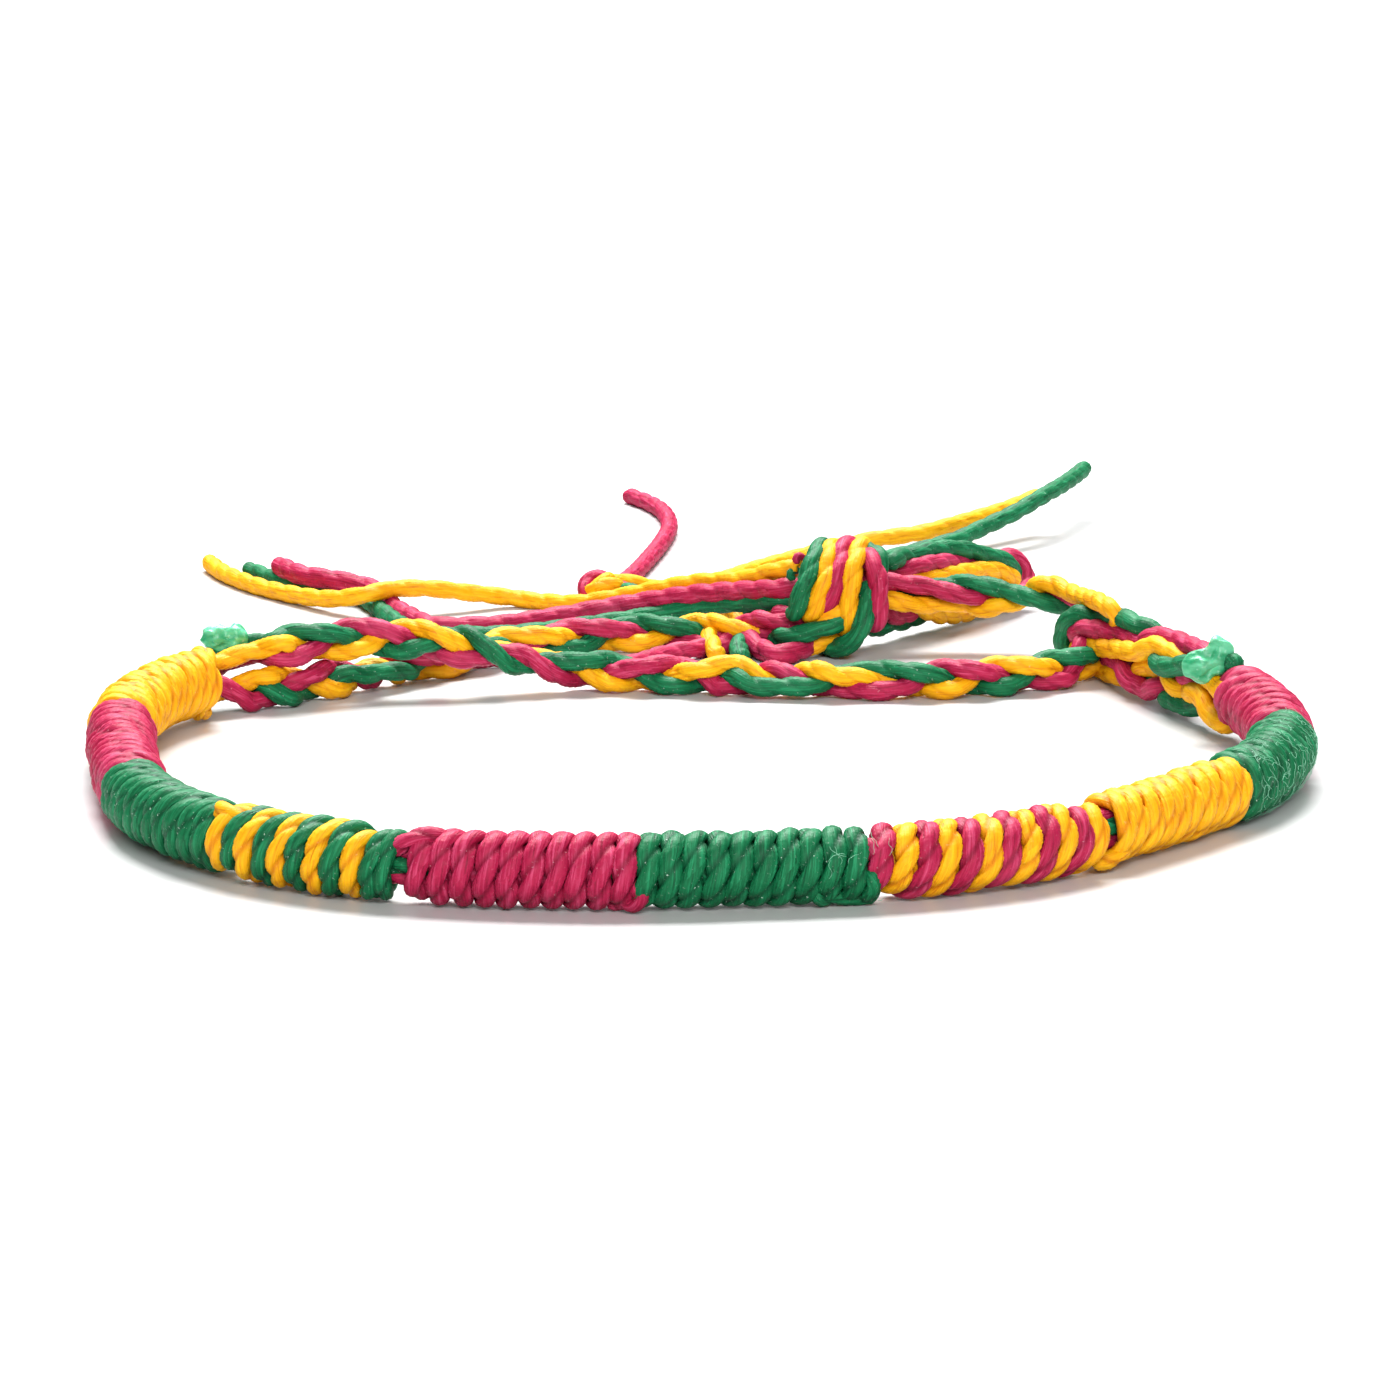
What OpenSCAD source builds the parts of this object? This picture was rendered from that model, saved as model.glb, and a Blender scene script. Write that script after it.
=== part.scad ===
// Braided wrist cord: ten wrapped sections on a bundle of cords, a braided loop at the right end,
// two braided ties at the left end, tied through the loop with one knot, and six loose cord ends.
// Millimetres. It lies on a flat surface at z = 0, with the wrapped band in front (-Y).

/* [Wrapped band] */
// Diameter over the wraps
band_d = 4.2; // [3.8:0.1:4.4]
// Diameter of the bundle of cords inside the wraps
core_d = 2.7; // [2.2:0.1:2.8]
// Clearance between the bundle and the wraps
core_gap = 0.05; // [0.02:0.01:0.1]
// Gap between two wrapped sections
section_gap = 0.3; // [0.1:0.05:0.6]
// Height of the left end of the band above its front
left_lift = 0.45; // [0:0.05:0.6]
// Height of the right end of the band above its front
right_lift = 0.65; // [0:0.05:0.8]

/* [Braids] */
// Width of a three-strand braid
braid_w = 2.2; // [1.8:0.1:2.3]
// Thickness of a three-strand braid
braid_t = 1.7; // [1.4:0.1:1.8]

/* [Cords] */
// Diameter of a single cord
cord_d = 1.05; // [0.8:0.05:1.15]

/* [Knots] */
// Outer diameter of the main knot
knot_d = 7.2; // [6.6:0.1:7.4]
// Length of the main knot along its braids
knot_len = 6.6; // [6:0.1:6.8]
// Diameter of the small knot at the end of the second tie
stopper_d = 2.8; // [2.6:0.1:3.2]

/* [Clipped ends] */
// Diameter of a melted cord end
clip_d = 2.1; // [1.6:0.1:2.3]
// Height of a melted cord end
clip_h = 1.9; // [1.4:0.1:2]

/* [Hidden] */
$fn = 48;
// Fineness of the band's long arcs
ARC_FN = 180;
FLOOR_GAP = 0.04;
JOIN_GAP = 0.35;
TURN_OVERLAP = 0.2;

COLOUR = 0;
LENGTH = 1;
TURN = 2;
RISE = 3;
// Colour, length along the band, turn to the left in degrees and rise, from the left end
SECTIONS = [
    ["gold", 14.2, 38.7, -0.7 * left_lift],
    ["crimson", 16.8, 7.4, -0.3 * left_lift],
    ["seagreen", 13.3, 30.5, 0],
    ["yellowgreen", 12.3, 31.0, 0],
    ["crimson", 12.2, 19.9, 0],
    ["seagreen", 11.9, 10.3, 0],
    ["coral", 14.8, 35.6, 0],
    ["gold", 13.7, 8.1, 0],
    ["seagreen", 13.8, 28.9, 0],
    ["crimson", 10.4, 22.4, right_lift],
];
LAST = len(SECTIONS) - 1;
// The section whose start is the fixed point of the band, that point and the heading there
FRONT = 5;
FRONT_POINT = [-3.2, -43.5, band_d / 2 + FLOOR_GAP];
FRONT_HEADING = 3;

// Steps of the core a section, steps between two route points, and sides of the swept bars
CORE_STEPS = 6;
SMOOTH_STEPS = 2;
BRAID_SIDES = 12;
CORD_SIDES = 8;
KNOT_CENTRE = [8.7, 29.1, knot_d / 2 + FLOOR_GAP];
KNOT_LEFT = KNOT_CENTRE.x - knot_len / 2 - JOIN_GAP;
KNOT_RIGHT = KNOT_CENTRE.x + knot_len / 2 + JOIN_GAP;
STOPPER_CENTRE = [-6.5, 43.4, stopper_d / 2 + FLOOR_GAP];
// Height of a braid that stands on its edge, of one that lies flat, and of a cord, on the surface
EDGE_Z = braid_w / 2 + FLOOR_GAP;
FLAT_Z = braid_t / 2 + FLOOR_GAP;
CORD_Z = cord_d / 2 + FLOOR_GAP;

// First tie: on top of the second one, along the surface, under and over the loop, to the knot
TIE_A_ROUTE = [
    [-29.8, 7.0, 3.7],
    [-27.8, 8.7, 3.8],
    [-25.6, 10.6, 3.8],
    [-23.5, 12.2, 3.8],
    [-21.4, 13.4, 3.8],
    [-19.2, 14.1, 3.7],
    [-16.7, 14.2, 3.5],
    [-14.2, 14.4, 3.0],
    [-11.8, 14.9, 2.4],
    [-9.2, 15.4, 1.8],
    [-6.2, 15.6, 1.3],
    [-3.1, 15.2, EDGE_Z],
    [0.6, 14.5, EDGE_Z],
    [5.2, 13.7, EDGE_Z],
    [10.0, 13.3, EDGE_Z],
    [14.6, 13.5, EDGE_Z],
    [18.4, 14.5, EDGE_Z],
    [21.4, 16.1, EDGE_Z],
    [23.6, 18.0, 1.3],
    [24.9, 19.8, 2.1],
    [25.5, 21.8, 3.1],
    [25.6, 23.7, 3.6],
    [24.4, 26.4, 3.8],
    [21.8, 28.4, 3.9],
    [18.5, 29.4, 4.0],
    [15.2, 29.6, 3.9],
    [KNOT_RIGHT, 29.3, 3.8],
];
// Second tie: from under the first one to the knot
TIE_B_ROUTE = [
    [-29.8, 7.0, 1.4],
    [-27.9, 8.6, 1.4],
    [-25.8, 10.6, 1.3],
    [-23.7, 12.6, 1.2],
    [-21.4, 14.8, EDGE_Z],
    [-18.9, 17.3, EDGE_Z],
    [-16.4, 20.0, EDGE_Z],
    [-13.9, 22.7, EDGE_Z],
    [-10.9, 25.4, EDGE_Z],
    [-7.7, 27.7, EDGE_Z],
    [-4.5, 29.1, EDGE_Z],
    [-1.2, 29.6, EDGE_Z],
    [2.2, 29.1, 1.2],
    [KNOT_LEFT, 28.2, 1.5],
];
// Bow of the second tie, on the right of the knot
BOW_ROUTE = [
    [KNOT_RIGHT + 0.3, 31.4, 2.2],
    [13.9, 34.2, 1.6],
    [16.4, 38.6, 1.2],
    [18.7, 41.0, 1.2],
    [20.6, 42.9, 1.6],
    [20.9, 44.6, 2.3],
    [19.4, 44.8, 3.0],
    [17.6, 43.0, 3.5],
    [15.4, 39.4, 3.9],
    [13.9, 35.6, 4.4],
    [KNOT_RIGHT + 0.5, 32.0, 4.8],
];
// Far stretch of the second tie, from the knot to the small knot
END_ROUTE = [
    [KNOT_LEFT - 0.3, 31.6, 1.6],
    [3.8, 34.4, 1.3],
    [2.4, 37.4, 1.0],
    [0.2, 40.2, FLAT_Z],
    [-2.4, 42.0, FLAT_Z],
    [-4.8, 42.9, 1.1],
];
// Loop at the right end: upper leg, bight and lower leg
LOOP_ROUTE = [
    [32.0, 0.6, 4.0],
    [30.8, 3.2, 4.1],
    [29.2, 6.6, 4.0],
    [27.6, 10.0, 4.0],
    [25.9, 12.9, 4.0],
    [24.3, 15.6, 4.0],
    [23.6, 18.2, 3.9],
    [23.3, 20.4, 3.4],
    [23.4, 22.6, 2.4],
    [24.3, 24.1, 1.5],
    [25.7, 23.6, EDGE_Z],
    [26.9, 21.2, EDGE_Z],
    [27.9, 17.5, EDGE_Z],
    [28.9, 13.5, EDGE_Z],
    [29.9, 8.5, 1.3],
    [30.9, 4.2, 1.5],
    [32.0, 0.6, 1.6],
];

// Loose ends, each from the knot that it comes out of to its tip
TAIL_LEFT_YELLOW_ROUTE = [
    [KNOT_LEFT, 31.0, 5.0],
    [2.9, 33.5, 4.0],
    [0.0, 36.3, 3.3],
    [-2.6, 38.4, 2.5],
    [-5.0, 40.0, 1.7],
    [-8.1, 41.8, 0.9],
    [-10.6, 44.2, CORD_Z],
    [-13.0, 46.0, CORD_Z],
    [-15.6, 47.4, CORD_Z],
    [-17.9, 47.4, 0.9],
    [-19.6, 45.2, 1.5],
    [-21.0, 42.4, 1.8],
    [-22.8, 40.5, 1.6],
    [-24.9, 41.3, 1.0],
    [-27.2, 44.6, CORD_Z],
    [-29.2, 47.8, CORD_Z],
    [-31.3, 51.6, CORD_Z],
    [-34.1, 58.6, CORD_Z],
];
TAIL_LEFT_PINK_ROUTE = [
    [KNOT_LEFT, 29.6, 4.0],
    [2.9, 32.3, 3.4],
    [0.0, 35.1, 2.7],
    [-3.3, 37.5, 1.8],
    [-6.6, 38.3, 1.1],
    [-9.3, 37.8, 0.7],
    [-12.4, 35.8, CORD_Z],
    [-15.4, 35.0, CORD_Z],
    [-17.4, 37.2, CORD_Z],
    [-19.1, 40.8, CORD_Z],
    [-21.0, 44.6, CORD_Z],
    [-22.8, 48.8, CORD_Z],
    [-25.4, 53.4, CORD_Z],
    [-29.2, 58.8, CORD_Z],
];
TAIL_LEFT_GREEN_ROUTE = [
    [KNOT_LEFT, 29.7, 2.9],
    [2.9, 32.4, 2.3],
    [0.0, 35.2, 1.6],
    [-3.3, 36.6, 0.8],
    [-6.6, 36.2, CORD_Z],
    [-9.2, 34.4, CORD_Z],
    [-12.3, 32.6, CORD_Z],
    [-15.5, 32.4, CORD_Z],
    [-17.9, 34.6, CORD_Z],
    [-19.9, 38.2, CORD_Z],
    [-21.9, 43.2, CORD_Z],
    [-24.0, 47.4, CORD_Z],
    [-26.6, 50.4, CORD_Z],
    [-28.9, 53.2, CORD_Z],
    [-31.4, 57.4, CORD_Z],
];
TAIL_BACK_PINK_ROUTE = [
    [-6.5, 45.3, 1.6],
    [-5.5, 49.4, 0.8],
    [-4.6, 54.6, CORD_Z],
    [-3.6, 61.0, CORD_Z],
    [-2.7, 68.0, CORD_Z],
    [-2.2, 74.5, CORD_Z],
    [-2.6, 80.5, CORD_Z],
    [-3.7, 85.0, CORD_Z],
    [-5.4, 88.8, CORD_Z],
];
TAIL_RIGHT_YELLOW_ROUTE = [
    [-5.5, 45.0, 1.9],
    [-2.6, 46.9, 0.9],
    [-0.6, 49.0, CORD_Z],
    [1.4, 52.2, CORD_Z],
    [3.6, 56.4, CORD_Z],
    [6.3, 60.6, CORD_Z],
    [9.8, 63.7, 0.8],
    [12.7, 65.5, 1.2],
    [15.6, 67.3, 1.6],
    [18.5, 69.4, 2.2],
    [21.4, 71.3, 2.8],
    [24.4, 73.1, 3.3],
];
TAIL_RIGHT_GREEN_ROUTE = [
    [-5.0, 44.4, 0.9],
    [-2.6, 45.1, CORD_Z],
    [0.6, 47.6, CORD_Z],
    [4.3, 51.0, CORD_Z],
    [8.6, 55.6, CORD_Z],
    [13.2, 61.0, CORD_Z],
    [16.9, 65.0, 0.9],
    [19.9, 68.9, 1.3],
    [22.2, 72.7, 1.9],
    [24.6, 76.9, 2.5],
    [26.7, 80.4, 3.0],
    [28.2, 83.4, 3.4],
];

// Band: a chain of arcs, each tangent to the next
function sum_before(i, column) = i == 0 ? 0 : sum_before(i - 1, column) + SECTIONS[i - 1][column];
function heading(i) = FRONT_HEADING + sum_before(i, TURN) - sum_before(FRONT, TURN);
function arc_radius(i) = SECTIONS[i][LENGTH] / (SECTIONS[i][TURN] * PI / 180);
function chord(i) =
    let (from = heading(i), to = from + SECTIONS[i][TURN])
    [each arc_radius(i) * [sin(to) - sin(from), cos(from) - cos(to)], SECTIONS[i][RISE]];
function start_point(i) =
    i == FRONT ? FRONT_POINT :
    i > FRONT ? start_point(i - 1) + chord(i - 1) :
    start_point(i + 1) - chord(i);

// From the start of section i: its arc's centre, the level point at part t (0 to 1), and that
// point with its share of the rise
function arc_centre(i) = arc_radius(i) * [-sin(heading(i)), cos(heading(i)), 0];
function level_point(i, t) =
    let (to = heading(i) + t * SECTIONS[i][TURN])
    arc_centre(i) + arc_radius(i) * [sin(to), -cos(to), 0];
function arc_point(i, t) =
    let (p = level_point(i, t), c = chord(i), run = [c.x, c.y, 0])
    start_point(i) + p + [0, 0, c.z * (p * run) / (run * run)];

module wrap(i) {
    trim_angle = section_gap / 2 / arc_radius(i) * 180 / PI;
    rise = chord(i);
    slope = atan2(rise.z, norm([rise.x, rise.y]));
    color(SECTIONS[i][COLOUR])
        translate(start_point(i))
        rotate(a = slope, v = [rise.y, -rise.x, 0])
        translate(arc_centre(i))
        rotate([0, 0, heading(i) - 90 + trim_angle])
        rotate_extrude(angle = SECTIONS[i][TURN] - 2 * trim_angle, $fn = ARC_FN)
        translate([arc_radius(i), 0])
        difference() {
            circle(d = band_d);
            circle(d = core_d + 2 * core_gap);
        }
}

module core_cords() {
    route = [
        for (i = [0:LAST], k = [0:CORE_STEPS - 1]) arc_point(i, k / CORE_STEPS),
        arc_point(LAST, 1),
    ];
    color("darkgreen") sweep(route, core_d, core_d, BRAID_SIDES, 1);
}

// Route: a smooth curve through the points of a list
function curve_point(p, i, t) =
    let (
        a = p[max(i - 1, 0)],
        b = p[i],
        c = p[i + 1],
        d = p[min(i + 2, len(p) - 1)]
    )
    0.5 * (2 * b + (c - a) * t + (2 * a - 5 * b + 4 * c - d) * t * t + (3 * b - a - 3 * c + d) * t * t * t);
function smooth_route(p, steps) = [
    for (i = [0:len(p) - 2], k = [0:steps - 1]) curve_point(p, i, k / steps),
    p[len(p) - 1],
];
function unit(v) = v / norm(v);
function tangent(p, i) = unit(p[min(i + 1, len(p) - 1)] - p[max(i - 1, 0)]);
function ring(centre, along, height, depth, sides) =
    let (across = unit(cross(along, [0, 0, 1])), up = cross(across, along))
    [for (k = [0:sides - 1])
        let (a = 360 * k / sides)
        centre + across * depth / 2 * cos(a) + up * height / 2 * sin(a)];

// A bar with an oval section, height upright and depth level, along a route
module sweep(route, height, depth, sides, steps) {
    path = smooth_route(route, steps);
    rings = len(path);
    points = [for (i = [0:rings - 1]) each ring(path[i], tangent(path, i), height, depth, sides)];
    first_cap = [[for (k = [sides - 1:-1:0]) k]];
    last_cap = [[for (k = [0:sides - 1]) (rings - 1) * sides + k]];
    walls = [
        for (i = [0:rings - 2], k = [0:sides - 1])
            let (
                a = i * sides + k,
                b = i * sides + (k + 1) % sides,
                c = b + sides,
                d = a + sides
            )
            each [[a, c, d], [a, b, c]],
    ];
    polyhedron(points, concat(first_cap, last_cap, walls));
}

// A braid that stands on its edge
module braid(route) {
    sweep(route, braid_w, braid_t, BRAID_SIDES, SMOOTH_STEPS);
}

module tie_braid_a() {
    color("gold") braid(TIE_A_ROUTE);
}

module tie_braid_b() {
    color("seagreen") braid(TIE_B_ROUTE);
}

module bow_braid() {
    color("mediumseagreen") braid(BOW_ROUTE);
}

module loop_braid() {
    color("palevioletred") braid(LOOP_ROUTE);
}

// This one lies flat
module end_braid() {
    color("crimson") sweep(END_ROUTE, braid_t, braid_w, BRAID_SIDES, SMOOTH_STEPS);
}

module tail(route) {
    sweep(route, cord_d, cord_d, CORD_SIDES, SMOOTH_STEPS);
}

module tail_left_yellow() {
    color("gold") tail(TAIL_LEFT_YELLOW_ROUTE);
}

module tail_left_pink() {
    color("crimson") tail(TAIL_LEFT_PINK_ROUTE);
}

module tail_left_green() {
    color("seagreen") tail(TAIL_LEFT_GREEN_ROUTE);
}

module tail_back_pink() {
    color("crimson") tail(TAIL_BACK_PINK_ROUTE);
}

module tail_right_yellow() {
    color("gold") tail(TAIL_RIGHT_YELLOW_ROUTE);
}

module tail_right_green() {
    color("seagreen") tail(TAIL_RIGHT_GREEN_ROUTE);
}

// One flat turn of three cords round the knot, with rounded edges
module knot_turn(width) {
    r = cord_d / 2;
    rotate([0, 90, 0])
        rotate_extrude()
        translate([knot_d / 2 - r, 0]) {
            square([cord_d, width - cord_d], center = true);
            translate([0, width / 2 - r]) circle(r = r);
            translate([0, r - width / 2]) circle(r = r);
        }
}

module main_knot() {
    turn_w = knot_len / 2 + TURN_OVERLAP;
    shift = (knot_len - turn_w) / 2;
    color("goldenrod")
        translate(KNOT_CENTRE) {
            translate([-shift, 0, 0]) knot_turn(turn_w);
            translate([shift, 0, 0]) knot_turn(turn_w);
            rotate([0, 90, 0]) cylinder(d = knot_d - cord_d, h = knot_len, center = true);
        }
}

module stopper_knot() {
    color("khaki") translate(STOPPER_CENTRE) sphere(d = stopper_d);
}

// A cord end melted to a bead, on a short stub that leans by an angle towards a direction
module clipped_end(place, lean, direction) {
    stub_h = clip_h / 2;
    color("mediumaquamarine")
        translate(place)
        rotate([0, lean, direction]) {
            cylinder(d = cord_d, h = clip_h);
            translate([0, 0, stub_h]) cylinder(d1 = clip_d * 0.7, d2 = clip_d, h = clip_h);
        }
}

module clipped_end_left() {
    clipped_end([-27.2, 11.0, 3.8], 75, 190);
}

module clipped_end_right() {
    clipped_end([30.6, 0.5, 3.7], 26, 236);
}

core_cords();
wrap(0);  // wrap_left_yellow
wrap(1);  // wrap_left_pink
wrap(2);  // wrap_left_green
wrap(3);  // stripes_green_yellow
wrap(4);  // wrap_front_pink
wrap(5);  // wrap_front_green
wrap(6);  // stripes_pink_yellow
wrap(7);  // wrap_right_yellow
wrap(8);  // wrap_right_green
wrap(9);  // wrap_right_pink
clipped_end_left();
clipped_end_right();
tie_braid_a();
tie_braid_b();
bow_braid();
end_braid();
loop_braid();
main_knot();
stopper_knot();
tail_left_yellow();
tail_left_pink();
tail_left_green();
tail_back_pink();
tail_right_yellow();
tail_right_green();
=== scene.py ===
import bmesh
import bpy
import math
import random
import numpy as np
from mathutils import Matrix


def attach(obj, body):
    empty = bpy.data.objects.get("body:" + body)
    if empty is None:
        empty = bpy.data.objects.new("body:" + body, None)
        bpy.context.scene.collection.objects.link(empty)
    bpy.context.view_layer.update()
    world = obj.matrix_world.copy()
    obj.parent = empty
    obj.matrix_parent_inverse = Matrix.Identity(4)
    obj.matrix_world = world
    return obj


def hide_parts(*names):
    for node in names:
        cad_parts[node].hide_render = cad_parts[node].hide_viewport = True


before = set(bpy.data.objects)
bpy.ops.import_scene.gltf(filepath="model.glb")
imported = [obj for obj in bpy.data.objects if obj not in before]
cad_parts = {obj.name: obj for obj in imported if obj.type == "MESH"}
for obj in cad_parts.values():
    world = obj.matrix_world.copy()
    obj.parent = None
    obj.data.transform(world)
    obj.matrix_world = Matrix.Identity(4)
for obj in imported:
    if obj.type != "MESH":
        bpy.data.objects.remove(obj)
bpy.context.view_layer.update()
scene = bpy.context.scene

# The bracelet's lengths are in millimetres, until a mesh is built
MM = 0.001
# Length of one whole twist of a cord, and distance between two rings of its mesh
PLY_PITCH = 4.2
RING_STEP = 0.2

# Camera


def set_up_camera():
    bpy.ops.object.camera_add(
        location=(0, -0.343, 0.0705), rotation=(math.radians(78.8), 0, 0)
    )
    camera = bpy.context.object
    camera.data.sensor_width = 36
    camera.data.lens = 150.94
    camera.data.clip_start = 0.01
    camera.data.clip_end = 20
    scene.camera = camera


set_up_camera()

# Routes

# The main knot's middle, and how far left and right it reaches
KNOT_CENTRE = (8.7, 29.1, 3.64)
KNOT_LEFT = 5.05
KNOT_RIGHT = 12.35
# Height of the middle line of a braid on its edge, of a braid lying flat and of a single cord
EDGE_Z = 1.14
FLAT_Z = 0.89
CORD_Z = 0.565

# Middle lines of the two ties, from the band's left end to the main knot
TIE_A_ROUTE = [
    (-29.8, 7.0, 3.7), (-27.8, 8.7, 3.8), (-25.6, 10.6, 3.8), (-23.5, 12.2, 3.8),
    (-21.4, 13.4, 3.8), (-19.2, 14.1, 3.7), (-16.7, 14.2, 3.5), (-14.2, 14.4, 3.0),
    (-11.8, 14.9, 2.4), (-9.2, 15.4, 1.8), (-6.2, 15.6, 1.3), (-3.1, 15.2, EDGE_Z),
    (0.6, 14.5, EDGE_Z), (5.2, 13.7, EDGE_Z), (10.0, 13.3, EDGE_Z), (14.6, 13.5, EDGE_Z),
    (18.4, 14.5, EDGE_Z), (21.4, 16.1, EDGE_Z), (23.6, 18.0, 1.3), (24.9, 19.8, 2.1),
    (25.5, 21.8, 3.1), (25.6, 23.7, 3.6), (24.4, 26.4, 3.8), (21.8, 28.4, 3.9), (18.5, 29.4, 4.0),
    (15.2, 29.6, 3.9), (KNOT_RIGHT, 29.3, 3.8),
]
TIE_B_ROUTE = [
    (-29.8, 7.0, 1.4), (-27.9, 8.6, 1.4), (-25.8, 10.6, 1.3), (-23.7, 12.6, 1.2),
    (-21.4, 14.8, EDGE_Z), (-18.9, 17.3, EDGE_Z), (-16.4, 20.0, EDGE_Z), (-13.9, 22.7, EDGE_Z),
    (-10.9, 25.4, EDGE_Z), (-7.7, 27.7, EDGE_Z), (-4.5, 29.1, EDGE_Z), (-1.2, 29.6, EDGE_Z),
    (2.2, 29.1, 1.2), (KNOT_LEFT, 28.2, 1.5),
]
# Middle line of the far stretch, from the main knot to the small one
END_ROUTE = [
    (KNOT_LEFT - 0.3, 31.6, 1.6), (3.8, 34.4, 1.3), (2.4, 37.4, 1.0), (0.2, 40.2, FLAT_Z),
    (-2.4, 42.0, FLAT_Z), (-4.8, 42.9, 1.1), (-6.2, 43.3, 1.2),
]
# The loose ends, from inside a knot to the tip
TAIL_ROUTES = {
    "tail_left_yellow": [
        (6.6, 30.2, 5.3), (KNOT_LEFT, 31.0, 5.0), (2.9, 33.5, 4.0), (0.0, 36.3, 3.3),
        (-2.6, 38.4, 2.5), (-5.0, 40.0, 1.7), (-8.1, 41.8, 0.9), (-10.6, 44.2, CORD_Z),
        (-12.8, 45.0, 0.7), (-15.72, 43.57, 1.3), (-17.91, 42.72, 1.7), (-20.1, 42.16, 1.8),
        (-21.7, 41.2, 1.7), (-22.85, 41.56, 1.4), (-24.6, 42.84, 1.0), (-26.41, 44.98, 0.75),
        (-28.88, 48.24, 0.6), (-30.79, 51.08, 0.6), (-32.82, 55.22, 0.6), (-34.22, 59.58, 0.6),
    ],
    "tail_left_pink": [
        (6.6, 29.2, 4.3), (KNOT_LEFT, 29.6, 4.0), (2.9, 32.3, 3.4), (0.0, 35.1, 2.7),
        (-3.3, 37.5, 1.8), (-6.6, 38.3, 1.1), (-9.3, 37.8, 0.7), (-13.1, 35.3, 0.6),
        (-16.5, 34.6, 0.6), (-17.6, 35.1, 0.6), (-18.4, 36.5, 0.6), (-19.4, 39.0, 0.6),
        (-20.2, 41.0, 0.62), (-20.9, 43.0, 0.75), (-22.1, 45.8, 1.15), (-24.3, 46.9, 1.5),
        (-26.6, 48.5, 1.55), (-27.7, 50.2, 1.55), (-28.9, 53.0, 1.5),
    ],
    "tail_left_green": [
        (6.6, 29.4, 3.2), (KNOT_LEFT, 29.7, 3.2), (2.9, 32.4, 2.6), (0.0, 35.2, 1.9),
        (-3.3, 36.6, 1.0), (-6.6, 36.2, CORD_Z), (-9.2, 34.0, 0.6), (-12.3, 32.2, 0.6),
        (-14.7, 31.7, 0.6), (-16.4, 31.6, 0.6), (-18.0, 32.5, 0.6), (-19.2, 34.4, 0.6),
        (-20.2, 37.2, 0.6), (-21.3, 41.0, 0.6), (-22.5, 45.0, 0.6), (-24.4, 48.0, 0.6),
        (-26.7, 49.7, 0.6), (-28.9, 52.3, 0.6), (-30.2, 54.6, 0.6), (-31.3, 56.6, 0.6),
    ],
    "tail_back_pink": [
        (-6.6, 43.6, 1.5), (-6.3, 45.6, 1.4), (-5.5, 49.4, 0.8), (-4.6, 54.6, CORD_Z),
        (-3.6, 61.0, CORD_Z), (-2.7, 68.0, CORD_Z), (-2.2, 74.5, CORD_Z), (-2.6, 80.5, CORD_Z),
        (-3.7, 85.0, CORD_Z), (-5.4, 88.8, CORD_Z),
    ],
    "tail_right_yellow": [
        (-6.7, 43.6, 1.7), (-5.2, 45.2, 1.7), (-2.6, 46.9, 0.9), (-0.6, 49.0, CORD_Z),
        (1.4, 52.2, CORD_Z), (3.6, 56.4, CORD_Z), (6.3, 60.0, 0.7), (9.4, 62.4, 1.1),
        (12.3, 63.6, 1.5), (15.47, 64.7, 1.75), (17.84, 67.0, 1.95), (19.94, 69.6, 2.09),
        (21.91, 72.0, 2.27), (23.76, 74.4, 2.57), (24.5, 75.4, 2.75),
    ],
    "tail_right_green": [
        (-6.4, 43.7, 1.0), (-4.8, 44.2, 0.8), (-2.6, 45.1, CORD_Z), (0.6, 47.6, CORD_Z),
        (4.3, 51.0, CORD_Z), (8.6, 55.2, CORD_Z), (13.2, 59.4, 0.9), (17.66, 62.6, 1.55),
        (19.75, 65.6, 1.89), (22.16, 68.6, 2.47), (23.69, 70.7, 2.95), (24.97, 73.0, 3.27),
        (26.15, 76.0, 3.37), (27.32, 79.6, 3.46), (28.27, 83.2, 3.48),
    ],
}
# Points of a smooth curve between two points of its route
CURVE_STEPS = 16


def along(points):
    """Distance of each point from the first one, along the line."""
    steps = np.linalg.norm(np.diff(points, axis=0), axis=1)
    return np.concatenate([[0.0], np.cumsum(steps)])


def evenly(points, step=RING_STEP):
    """The same line with its points at even distances."""
    s = along(points)
    count = max(3, int(round(s[-1] / step)) + 1)
    where = np.linspace(0, s[-1], count)
    return np.column_stack([np.interp(where, s, points[:, k]) for k in range(3)])


def smooth_line(route, step=RING_STEP):
    """One smooth curve through the route's points, with a point every step."""
    p = np.array(route, float)
    p = np.vstack([2 * p[0] - p[1], p, 2 * p[-1] - p[-2]])
    out = []
    for i in range(1, len(p) - 2):
        a, b, c, d = p[i - 1 : i + 3]
        for t in np.linspace(0, 1, CURVE_STEPS, endpoint=False):
            square = (2 * a - 5 * b + 4 * c - d) * t**2
            cube = (3 * b - a - 3 * c + d) * t**3
            out.append(0.5 * (2 * b + (c - a) * t + square + cube))
    out.append(p[-2])
    return evenly(np.array(out), step)


def directions(points):
    """The line's direction at each point."""
    t = np.gradient(points, axis=0)
    return t / np.linalg.norm(t, axis=1)[:, None]


# Materials

# Places of a colour mix node's sockets: the two colours that it mixes, and its result
MIX_FIRST, MIX_SECOND, MIX_RESULT = 6, 7, 2


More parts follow.
